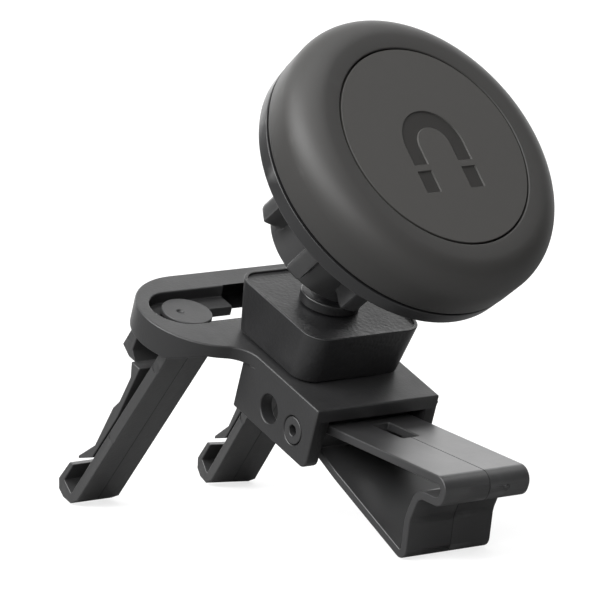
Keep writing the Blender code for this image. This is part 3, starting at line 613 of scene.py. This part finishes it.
def make_ball_socket():
    inner = SOCKET_OUTER - SOCKET_WALL
    seat = HEAD_BACK_HEIGHT + SHELL_FLOOR + FIT
    crown = math.degrees(math.asin(SOCKET_CROWN))
    mouth = math.degrees(math.asin(-SOCKET_MOUTH / inner))
    profile = ([(0, inner * SOCKET_CROWN)] + arc((0, 0), inner, crown, mouth, 24)
               + [(SOCKET_OUTER - SOCKET_EDGE, -SOCKET_MOUTH), (SOCKET_OUTER, -SOCKET_MOUTH + SOCKET_EDGE),
                  (SOCKET_OUTER, seat), (SOCKET_FLANGE_RADIUS, seat),
                  (SOCKET_FLANGE_RADIUS, seat + SOCKET_FLANGE), (0, seat + SOCKET_FLANGE)])
    socket = turned("fingered_socket", profile, head)
    slits = []
    for i in range(FINGER_COUNT):
        turn = head @ Matrix.Rotation(math.tau * i / FINGER_COUNT, 4, "Z")
        slits.append(brick("slit", (inner * 0.8, -FINGER_SLIT / 2, -SOCKET_MOUTH - MM),
                           (SOCKET_OUTER + MM, FINGER_SLIT / 2, BALL_RADIUS), turn))
    return even(carve(socket, *slits))


put_on(make_ball_socket(), "head", ["ball_socket"], stem_black)

# ---------------------------------------------------------------- head shell
# The hard back of the magnetic head, moulded in black plastic: a flared band with a rolled rear
# edge, closed by the cap.
HEAD_RADIUS = 24.43 * MM        # just within the flat-sided solid that it replaces
HEAD_BACK_RADIUS = 24.0 * MM
HEAD_THICKNESS = 12.4 * MM
SHELL_BAND = 2.75 * MM
SHELL_WALL = 1.5 * MM
SHELL_LIP = 3.0 * MM
SHELL_EDGE = 0.55 * MM
SHELL_SEAM_EDGE = SHELL_EDGE * 0.3
SHELL_DRAFT = SHELL_EDGE * 0.8
CAP_WALL = 1.8 * MM

shell_outer = HEAD_RADIUS - CAP_WALL - FIT
shell_seam = HEAD_BACK_HEIGHT + SHELL_BAND


def make_back_shell():
    back_corner = arc((HEAD_BACK_RADIUS - SHELL_EDGE, HEAD_BACK_HEIGHT + SHELL_EDGE), SHELL_EDGE, -90, 0, 8)
    seam_corner = arc((HEAD_RADIUS - SHELL_DRAFT, shell_seam - SHELL_SEAM_EDGE), SHELL_SEAM_EDGE, 0, 90, 5)
    floor = HEAD_BACK_HEIGHT + SHELL_FLOOR
    lip = shell_seam + SHELL_LIP
    profile = ([(nut_bore, HEAD_BACK_HEIGHT)] + back_corner + seam_corner
               + [(shell_outer, shell_seam), (shell_outer, lip), (shell_outer - SHELL_WALL, lip),
                  (shell_outer - SHELL_WALL, floor), (nut_bore, floor)])
    return even(turned("head_shell", profile, head, 160))


shell_black = moulded("shell_black", (0.012, 0.012, 0.0125), (0.12, 0.12, 0.12), 0.40, 2600.0, 0.22)
put_on(make_back_shell(), "head", ["head_back_shell"], shell_black)

# ---------------------------------------------------------------- rubber cap
# Soft moulded rubber stretched over the front of the head, with a deep round shoulder and a
# groove left round the face disc.
CAP_ROOF = 2.2 * MM
CAP_WIDEST = 4.8 * MM
CAP_EDGE_RADIUS = 19.6 * MM
CAP_LIP = 0.35 * MM
GROOVE_EDGE = 0.22 * MM
DISC_RADIUS = 17.0 * MM
DISC_THICKNESS = 1.2 * MM

face_height = HEAD_BACK_HEIGHT + HEAD_THICKNESS
disc_low = face_height - DISC_THICKNESS


def make_rubber_cap():
    widest = face_height - CAP_WIDEST
    shoulder = HEAD_RADIUS - CAP_EDGE_RADIUS
    seat = shell_seam + FIT
    recess = DISC_RADIUS + FIT
    roof = face_height - CAP_ROOF
    inner = HEAD_RADIUS - CAP_WALL
    groove = arc((recess + GROOVE_EDGE, face_height - GROOVE_EDGE), GROOVE_EDGE, 180, 90, 6)
    round_edge = [(CAP_EDGE_RADIUS + shoulder * math.sin(math.radians(a)),
                   widest + CAP_WIDEST * math.cos(math.radians(a))) for a in range(0, 91, 3)]
    lip = [(HEAD_RADIUS - CAP_LIP * 0.5, seat + CAP_LIP * 1.5),
           (HEAD_RADIUS - CAP_LIP, seat + CAP_LIP * 0.6), (HEAD_RADIUS - CAP_LIP * 1.8, seat)]
    profile = ([(0, disc_low - FIT), (recess, disc_low - FIT)] + groove + round_edge + lip
               + [(inner, seat), (inner, roof), (0, roof)])
    return even(turned("stretched_cap", profile, head, 192))


cap_rubber = moulded("cap_rubber", (0.024, 0.0232, 0.022), (0.055, 0.054, 0.052), 0.56, 3600.0, 0.25,
                     0.3, 0.05, 0.3)
put_on(make_rubber_cap(), "head", ["rubber_cap"], cap_rubber)

# ---------------------------------------------------------------- face disc
# A thin rubber disc glued in the cap, with a plain horseshoe magnet sunk in it as its only mark.
# The mark stands upright on the head, as near the mount's vertical as the face allows.
DISC_EDGE = 0.072 * MM
MARK_DEPTH = 0.25 * MM
MARK_ARCH = 4.6 * MM
MARK_BAR = 2.9 * MM
MARK_LEG = 5.4 * MM
MARK_POLE = 2.4 * MM
MARK_GAP = 0.55 * MM

face_up = (Vector((0, 0, 1)) - head_out * head_out.z).normalized()
head_x, head_y = head.to_3x3().col[0], head.to_3x3().col[1]
mark_turn = math.atan2(-face_up.dot(head_x), face_up.dot(head_y))


def make_face_disc():
    disc = peg("marked_disc", DISC_RADIUS, disc_low, face_height, head, steps=192)
    inside, outside = MARK_ARCH - MARK_BAR / 2, MARK_ARCH + MARK_BAR / 2
    low, high = face_height - MARK_DEPTH, face_height + MM
    upright = head @ Matrix.Rotation(mark_turn, 4, "Z")
    leg_end = MARK_POLE - MARK_LEG
    arch = (arc((0, 0), outside, 0, 180, 32) + [(-outside, leg_end), (-inside, leg_end)]
            + arc((0, 0), inside, 180, 0, 24) + [(inside, leg_end), (outside, leg_end)])
    poles = [brick("pole", (x, -MARK_LEG - MARK_POLE, low), (x + MARK_BAR, leg_end - MARK_GAP * 2, high),
                   upright) for x in (inside, -outside)]
    carve(disc, slab("arch", arch, low, high, upright), *poles)
    soften(disc, DISC_EDGE, 2)
    # The sunk floor of the mark takes the second finish.
    for face in disc.data.polygons:
        depth = face_height - (face.center - ball_at).dot(head_out)
        if face.normal.dot(head_out) > 0.9 and MARK_DEPTH / 2 < depth < MARK_DEPTH * 2:
            face.material_index = 1
    return disc


disc_rubber = moulded("disc_rubber", (0.036, 0.0345, 0.0325), (0.05, 0.05, 0.048), 0.60, 4200.0, 0.2,
                      0.3, 0.05, 0.3)
mark_gloss = moulded("mark_gloss", (0.024, 0.023, 0.022), (0.04, 0.04, 0.038), 0.32, 4200.0, 0.1,
                     0.3, 0.05, 0.3)
marked_disc = make_face_disc()
put_on(marked_disc, "head", ["face_disc"], disc_rubber)
marked_disc.data.materials.append(mark_gloss)

# ---------------------------------------------------------------- folding foot
# A springy loop of moulded sheet round a barrel on the pin: flat top, curled toe, stepped heel. A
# split line runs from its slot over the toe and down the heel, beside the gate's mark on the toe.
FOOT_WIDTH = 16.0 * MM
FOOT_SHEET = 1.4 * MM
FOOT_BARREL = 1.1 * MM
FOOT_REACH = 33.17 * MM
FOOT_RISE = 9.3 * MM
FOOT_CURL = 3.6 * MM
FOOT_HEEL_REACH = 27.8 * MM
FOOT_HEEL_DROP = 6.8 * MM
FOOT_SLOT_WIDTH = 3.2 * MM
FOOT_SLOT_OFFSET = 0.5 * MM
FOOT_SLOT_START = 5.8 * MM
FOOT_SLOT_END = 13.4 * MM
SEAM_AT = 0.4 * MM
SEAM_WIDTH = 0.16 * MM
SEAM_DEPTH = 0.12 * MM
GATE_AT = 3.6 * MM
GATE_RING = 0.65 * MM
GATE_PIP = 0.4 * MM
FOOT_EDGE = 0.22 * MM

foot_frame = axes(joint_place("foot_fold"), bracket_across, bracket_up)


def bent(corners, steps=12):
    """An open path through corners (x, y, radius), each turned into an arc."""
    path = [corners[0][:2]]
    for before, here, after in zip(corners, corners[1:], corners[2:]):
        corner = Vector(here[:2])
        back = (Vector(before[:2]) - corner).normalized()
        on = (Vector(after[:2]) - corner).normalized()
        half = back.angle(on) / 2
        centre = corner + (back + on).normalized() * here[2] / math.sin(half)
        reach = here[2] / math.tan(half)
        first = corner + back * reach - centre
        sweep = first.angle_signed(corner + on * reach - centre)
        for i in range(steps + 1):
            path.append(tuple(centre + Matrix.Rotation(-sweep * i / steps, 2) @ first))
    return path + [corners[-1][:2]]


def strip(path, thickness):
    """A closed outline of even thickness along an open path."""
    points = [Vector(p) for p in path]
    left, right = [], []
    for i, point in enumerate(points):
        along = (points[min(i + 1, len(points) - 1)] - points[max(i - 1, 0)]).normalized()
        side = Vector((-along.y, along.x)) * thickness / 2
        left.append(tuple(point + side))
        right.append(tuple(point - side))
    return left + right[::-1]


def foot_path():
    """Side view of the loop's middle line, out along the top, round the curl and back below."""
    sheet = FOOT_SHEET
    curl_bend = FOOT_CURL * 0.42
    return bent([
        (-PIN_RADIUS - sheet * 0.5, PIN_RADIUS * 0.7, 0),
        (-FOOT_REACH, FOOT_RISE, curl_bend),
        (-FOOT_REACH + sheet * 0.2, FOOT_RISE - FOOT_CURL, curl_bend),
        (-FOOT_HEEL_REACH + sheet * 0.2, FOOT_RISE - FOOT_CURL * 1.38, sheet * 1.8),
        (-FOOT_HEEL_REACH + sheet * 0.8, -FOOT_HEEL_DROP * 0.1, sheet * 4),
        (-FOOT_HEEL_REACH, -FOOT_HEEL_DROP, sheet * 0.7),
        (-FOOT_HEEL_REACH * 0.29, -FOOT_HEEL_DROP * 0.56, sheet * 6),
        (-PIN_RADIUS * 0.5, -PIN_RADIUS * 1.05, 0)])


def make_foot():
    half = FOOT_WIDTH / 2
    path = foot_path()
    foot = slab("folding_foot", strip(path, FOOT_SHEET), -half, half, foot_frame, True)
    weld(foot, peg("barrel", PIN_RADIUS + FOOT_BARREL, -half, half, foot_frame, sideways=True))
    carve(foot,
          peg("foot_bore", PIN_RADIUS, -half - MM, half + MM, foot_frame, sideways=True),
          brick("foot_slot", (FOOT_SLOT_OFFSET - FOOT_SLOT_WIDTH / 2, -FOOT_SLOT_END, 0),
                (FOOT_SLOT_OFFSET + FOOT_SLOT_WIDTH / 2, -FOOT_SLOT_START, FOOT_RISE), foot_frame))
    soften(foot, FOOT_EDGE)
    # The split line starts on the outer skin where the slot ends.
    outer = strip(path, FOOT_SHEET)[len(path):][::-1]
    share = (FOOT_SLOT_END + outer[0][0]) / (outer[0][0] - outer[1][0])
    start = (-FOOT_SLOT_END, outer[0][1] + (outer[1][1] - outer[0][1]) * share)
    line = [start] + [point for point in outer if point[0] < start[0]]
    toe = foot_frame @ Vector((GATE_AT, -FOOT_REACH - FOOT_SHEET * 0.4, FOOT_RISE - FOOT_CURL / 2))
    toe_frame = axes(toe, bracket_across, bracket_across.cross(bracket_up).normalized())
    ring = carve(peg("gate_ring", GATE_RING, -SEAM_DEPTH, MM, toe_frame),
                 peg("gate_pip", GATE_PIP, -MM, 2 * MM, toe_frame))
    carve(foot, ring, slab("split_line", strip(line, 2 * SEAM_DEPTH), SEAM_AT - SEAM_WIDTH / 2,
                           SEAM_AT + SEAM_WIDTH / 2, foot_frame, True))
    return flatten(even(foot, 45))


foot_satin = moulded("foot_satin", (0.022, 0.022, 0.0225), (0.11, 0.11, 0.11), 0.40, 2800.0, 0.16,
                     0.5, 0.03)
put_on(make_foot(), "foot", ["foot"], foot_satin)

# ---------------------------------------------------------------- slide buttons
# Round black buttons that slide on the slot's ledge, with the dimple of the mould's gate on top.
# The legs turn on their shanks.
LEG_SHANK = 1.4 * MM
SHANK_DEPTH = 1.6 * MM
BUTTON_RADIUS = 4.1 * MM
BUTTON_THICKNESS = 0.9 * MM
BUTTON_EDGE = 0.2 * MM
BUTTON_GATE = 0.55 * MM
BUTTON_GATE_AT = (-1.2 * MM, 0.1 * MM)


def make_button(side, at):
    low = -LEDGE_SINK + FIT
    button = peg(side + "_button", BUTTON_RADIUS, low, low + BUTTON_THICKNESS, at, steps=72)
    weld(button, peg("shank", LEG_SHANK, -RING_HEIGHT - SHANK_DEPTH, low + BUTTON_THICKNESS / 2, at))
    carve(button, peg("gate", BUTTON_GATE, low + BUTTON_THICKNESS * 0.7, MM, at, BUTTON_GATE_AT, steps=24))
    return soften(button, BUTTON_EDGE)


button_black = moulded("button_black", (0.020, 0.020, 0.0205), (0.11, 0.11, 0.11), 0.46, 2200.0, 0.3)
for side in ("left", "right"):
    under_ring = joint_place(side + "_swivel")
    at = axes(under_ring + bracket_up * RING_HEIGHT, bracket_across, bracket_up)
    put_on(make_button(side, at), side + "_slider", [side + "_slide_button"], button_black)

# ---------------------------------------------------------------- hook legs
# Leaning strips that hang a vent blade in their hooks, with a lug behind. A split line runs down the
# middle of the front, and the mould's ejector pins left round marks on the sides.
LEG_WIDTH = 8.2 * MM
LEG_LEAN = 23.4                 # degrees
LEG_PLATE = 2.0 * MM
LEG_TOP = 2.2 * MM
LEG_FRONT_REACH = 3.95 * MM
LEG_LENGTH = 43.6 * MM
HOOK_FLOOR = 2.4 * MM
HOOK_GAP = 2.8 * MM
HOOK_WALL = 1.25 * MM
HOOK_DEPTH = 3.5 * MM
HOOK_CHAMFER = 3.0 * MM
LUG_REACH = 7.5 * MM
LUG_THICKNESS = 1.9 * MM
LUG_LENGTH = 7.7 * MM
LUG_TOE = 2.2 * MM
LUG_BULGE = 1.7 * MM
SHANK_CLEARANCE = 0.05 * MM
PIN_MARK = 1.0 * MM
PIN_MARK_DEPTH = 0.08 * MM
LEG_EDGE = 0.2 * MM

lean = math.radians(LEG_LEAN)


def on_leg(down, back):
    """(y, z) of a point so far down the leaning front face and so far behind it."""
    return (-LEG_FRONT_REACH + math.sin(lean) * down + math.cos(lean) * back,
            -FIT - math.cos(lean) * down + math.sin(lean) * back)


def leg_frame(side):
    return axes(joint_place(side + "_swivel"), joint_line(side + "_release"), bracket_up)


def leg_outline():
    """Side view: top plate, leaning front plate with its hook, and the lug behind."""
    floor = LEG_LENGTH - HOOK_FLOOR
    pocket = LEG_PLATE + HOOK_GAP
    outer = pocket + HOOK_WALL
    hook = [on_leg(LEG_LENGTH - HOOK_CHAMFER, 0), on_leg(LEG_LENGTH - HOOK_CHAMFER / 3, HOOK_CHAMFER / 3),
            on_leg(LEG_LENGTH, HOOK_CHAMFER), on_leg(LEG_LENGTH, outer - HOOK_WALL),
            on_leg(LEG_LENGTH - HOOK_WALL, outer), on_leg(floor - HOOK_DEPTH, outer - HOOK_WALL / 6),
            on_leg(floor - HOOK_DEPTH - HOOK_WALL / 2, outer - HOOK_WALL),
            on_leg(floor, pocket), on_leg(floor, LEG_PLATE)]
    underside = -FIT - LEG_TOP
    plate_back = LEG_PLATE / math.cos(lean) - LEG_FRONT_REACH
    inner_top = (plate_back + LEG_TOP * math.tan(lean), underside)
    lug_inner = LUG_REACH - LUG_THICKNESS
    lug = [(lug_inner, underside), (lug_inner + LUG_THICKNESS * 0.4, -LUG_LENGTH * 0.8),
           (lug_inner - LUG_TOE / 4, -LUG_LENGTH), (lug_inner + LUG_TOE * 0.6, -LUG_LENGTH),
           (LUG_REACH + LUG_BULGE, -LUG_LENGTH * 0.86), (LUG_REACH, underside), (LUG_REACH, -FIT)]
    return [(-LEG_FRONT_REACH, -FIT)] + hook + [inner_top] + lug


def make_leg(side, at):
    half = LEG_WIDTH / 2
    leg = slab(side + "_leg", leg_outline(), -half, half, at, True)
    carve(leg, peg("shank_socket", LEG_SHANK + SHANK_CLEARANCE, -SHANK_DEPTH - FIT, MM, at))
    soften(leg, LEG_EDGE)
    front = [on_leg(0, 0), on_leg(LEG_LENGTH - HOOK_CHAMFER, 0)]
    marks = [on_leg(LEG_LENGTH * 0.14, LEG_PLATE * 0.5), on_leg(LEG_LENGTH * 0.56, LEG_PLATE * 0.5),
             on_leg(LEG_LENGTH - HOOK_WALL, LEG_PLATE + HOOK_GAP + HOOK_WALL * 0.4),
             (LUG_REACH, -LUG_LENGTH * 0.55)]
    carve(leg, slab("split_line", strip(front, 2 * SEAM_DEPTH), -SEAM_WIDTH / 2, SEAM_WIDTH / 2, at, True),
          *[peg("pin_mark", PIN_MARK, low, low + PIN_MARK_DEPTH + MM, at, mark, True, 24)
            for mark in marks for low in (half - PIN_MARK_DEPTH, -half - MM)])
    return flatten(even(leg, 45))


leg_black = moulded("leg_black", (0.028, 0.028, 0.0285), (0.12, 0.12, 0.12), 0.42, 2200.0, 0.45, 0.5, 0.06)
for side in ("left", "right"):
    put_on(make_leg(side, leg_frame(side)), side + "_leg", [side + "_hook_leg"], leg_black)

# ---------------------------------------------------------------- release levers
# A lever behind each leg, in the leg's own black plastic: a thumb pad, a slim arm and a barb that
# closes the hook.
LEVER_TOP = 10.05 * MM
LEVER_PIVOT = 20.8 * MM
LEVER_SPLAY = 1.4 * MM
LEVER_THICKNESS = 1.5 * MM
LEVER_THUMB = 2.3 * MM
LEVER_ROOT = 31.8 * MM
THUMB_SLOPE = 1.0 * MM
THUMB_LENGTH = 3.1 * MM
PIVOT_SWELL = 2.2 * MM
BARB_LENGTH = 3.4 * MM
BARB_RISE = 2.4 * MM
LEVER_EDGE = 0.18 * MM


def lever_outline():
    face = LEG_PLATE + FIT
    arm = LEVER_THICKNESS
    return [on_leg(LEVER_TOP, face + LEVER_SPLAY),
            on_leg(LEVER_TOP + THUMB_SLOPE, face + LEVER_SPLAY + LEVER_THUMB),
            on_leg(LEVER_TOP + THUMB_LENGTH, face + LEVER_SPLAY + arm * 0.5),
            on_leg(LEVER_PIVOT - PIVOT_SWELL, face + arm * 0.95),
            on_leg(LEVER_PIVOT, face + arm * 1.25),
            on_leg(LEVER_ROOT - PIVOT_SWELL, face + arm * 0.6),
            on_leg(LEVER_ROOT + BARB_LENGTH * 0.85, face + BARB_RISE * 1.1),
            on_leg(LEVER_ROOT + BARB_LENGTH, face + BARB_RISE),
            on_leg(LEVER_ROOT, face), on_leg(LEVER_PIVOT, face)]


for side in ("left", "right"):
    lever = slab(side + "_lever", lever_outline(), -LEG_WIDTH / 2, LEG_WIDTH / 2, leg_frame(side), True)
    put_on(soften(lever, LEVER_EDGE), side + "_lever", [side + "_release_lever"], leg_black)

# ---------------------------------------------------------------- hidden hardware
# What holds the mount together out of sight: steel screws, washers and a backing plate, magnets
# plated with nickel, their grey tray and the ball's pad. Each keeps its plain solid.


def make_brushed():
    """Fine lines of turned or rolled metal, and a slow change of its tone."""
    group, given, out = new_group("brushed_metal", [("Line Size", "Float", 1200.0), ("Colour", "Color")],
                                  [("Colour", "Color"), ("Height", "Float"), ("Roughness", "Float")])
    spot = group.nodes.new("ShaderNodeTexCoord").outputs["Object"]
    squeezed = wire(group, "ShaderNodeMapping", Vector=spot, Scale=(1, 1, 0.06))
    lines = wire(group, "ShaderNodeTexNoise", Vector=squeezed.outputs[0], Scale=given.outputs["Line Size"],
                 Detail=4.0)
    slow = wire(group, "ShaderNodeTexNoise", Vector=spot, Scale=220.0, Detail=3.0)
    darker = wire(group, "ShaderNodeMix", {"data_type": "RGBA", "blend_type": "MULTIPLY"}, _0=0.35,
                  _6=given.outputs["Colour"], _7=slow.outputs["Color"])
    rough = wire(group, "ShaderNodeMapRange", Value=slow.outputs["Fac"])
    rough.inputs["To Min"].default_value = 0.2
    rough.inputs["To Max"].default_value = 0.5
    group.links.new(darker.outputs[2], out.inputs["Colour"])
    group.links.new(lines.outputs["Fac"], out.inputs["Height"])
    group.links.new(rough.outputs[0], out.inputs["Roughness"])
    return group


brushed_metal = make_brushed()


def metal(name, colour, line_size):
    """Bare or plated metal with fine lines."""
    material = bpy.data.materials.new(name)
    material.use_nodes = True
    tree = material.node_tree
    shader = tree.nodes["Principled BSDF"]
    shader.inputs["Metallic"].default_value = 1.0
    skin = wire(tree, "ShaderNodeGroup", {"node_tree": brushed_metal}, Line_Size=line_size,
                Colour=(*colour, 1))
    relief = wire(tree, "ShaderNodeBump", Strength=0.2, Distance=0.02 * MM, Height=skin.outputs["Height"])
    tree.links.new(skin.outputs["Colour"], shader.inputs["Base Color"])
    tree.links.new(skin.outputs["Roughness"], shader.inputs["Roughness"])
    tree.links.new(relief.outputs["Normal"], shader.inputs["Normal"])
    return material


hidden_finishes = {
    "screw": metal("zinc_screw", (0.60, 0.60, 0.61), 2400.0),
    "washer": metal("steel_washer", (0.55, 0.55, 0.56), 1600.0),
    "plate": metal("rolled_plate", (0.50, 0.50, 0.51), 900.0),
    "magnet": metal("nickel_plate", (0.66, 0.64, 0.60), 3000.0),
    "tray": moulded("tray_grey", (0.10, 0.10, 0.105), (0.14, 0.14, 0.14), 0.5, 2400.0, 0.2),
    "pad": moulded("pad_polymer", (0.12, 0.12, 0.12), (0.16, 0.16, 0.16), 0.5, 2800.0, 0.2),
}
hidden_nodes = {
    "screw": ["left_neck_screw", "right_neck_screw", "stem_screw",
              "head_screw_1", "head_screw_2", "head_screw_3"],
    "washer": ["stem_washer", "left_slide_washer", "right_slide_washer"],
    "plate": ["backing_plate"],
    "magnet": [f"magnet_{i}" for i in range(1, 7)],
    "tray": ["magnet_tray"],
    "pad": ["ball_pad"],
}
for kind, names in hidden_nodes.items():
    for name in names:
        for held in frame["nodes"][name].material_slots:
            held.material = hidden_finishes[kind]

# ---------------------------------------------------------------- floor and lights
# A plain table that runs out of sight, and four soft boxes: a wide wall behind, one high at the
# left, one at the front left and one overhead. The table and the room are seen as plain white.
FLOOR_HALF = 3.0
SEEN_WHITE = 0.72
TABLE_GREY = 0.24
ROOM_LIGHT = 0.04


def build_floor(bm):
    corners = [(-1, -1), (1, -1), (1, 1), (-1, 1)]
    bm.faces.new([bm.verts.new((x * FLOOR_HALF, y * FLOOR_HALF, 0)) for x, y in corners])


floor = new_piece("floor", build_floor, Matrix.Identity(4))
floor_paint = bpy.data.materials.new("floor_paint")
floor_paint.use_nodes = True
table = floor_paint.node_tree
paint = table.nodes["Principled BSDF"]
paint.inputs["Base Color"].default_value = (TABLE_GREY, TABLE_GREY, TABLE_GREY, 1)
paint.inputs["Roughness"].default_value = 0.9
paint.inputs["Emission Color"].default_value = (1, 1, 1, 1)
glow = wire(table, "ShaderNodeMath", {"operation": "MULTIPLY"}, _1=SEEN_WHITE,
            _0=table.nodes.new("ShaderNodeLightPath").outputs["Is Camera Ray"])
table.links.new(glow.outputs[0], paint.inputs["Emission Strength"])
floor.data.materials.append(floor_paint)


def softbox(name, at, size, power, aim=(0, 0, 0.03)):
    """A soft rectangular light, turned towards the middle of the mount."""
    light = bpy.data.lights.new(name, "AREA")
    light.shape = "RECTANGLE"
    light.size, light.size_y = size
    light.energy = power
    holder = bpy.data.objects.new(name, light)
    holder.location = at
    holder.rotation_euler = (Vector(aim) - Vector(at)).to_track_quat("-Z", "Y").to_euler()
    bpy.context.scene.collection.objects.link(holder)


softbox("back_wall", (0.75, 1.05, 0.50), (2.4, 1.1), 22)
softbox("left_box", (-1.05, 0.15, 1.00), (1.3, 0.9), 37)
softbox("front_box", (-0.85, -0.85, 0.60), (1.1, 0.6), 13)
softbox("overhead_box", (0.15, -0.10, 1.0), (1.1, 1.1), 8)

world = bpy.data.worlds.new("studio")
world.use_nodes = True
bpy.context.scene.world = world
sky = world.node_tree
level = wire(sky, "ShaderNodeMapRange", Value=sky.nodes.new("ShaderNodeLightPath").outputs["Is Camera Ray"])
level.inputs["To Min"].default_value = ROOM_LIGHT
level.inputs["To Max"].default_value = 1.0
back = sky.nodes["Background"]
back.inputs["Color"].default_value = (1, 1, 1, 1)
sky.links.new(level.outputs[0], back.inputs["Strength"])
bpy.context.scene.view_settings.view_transform = "Standard"
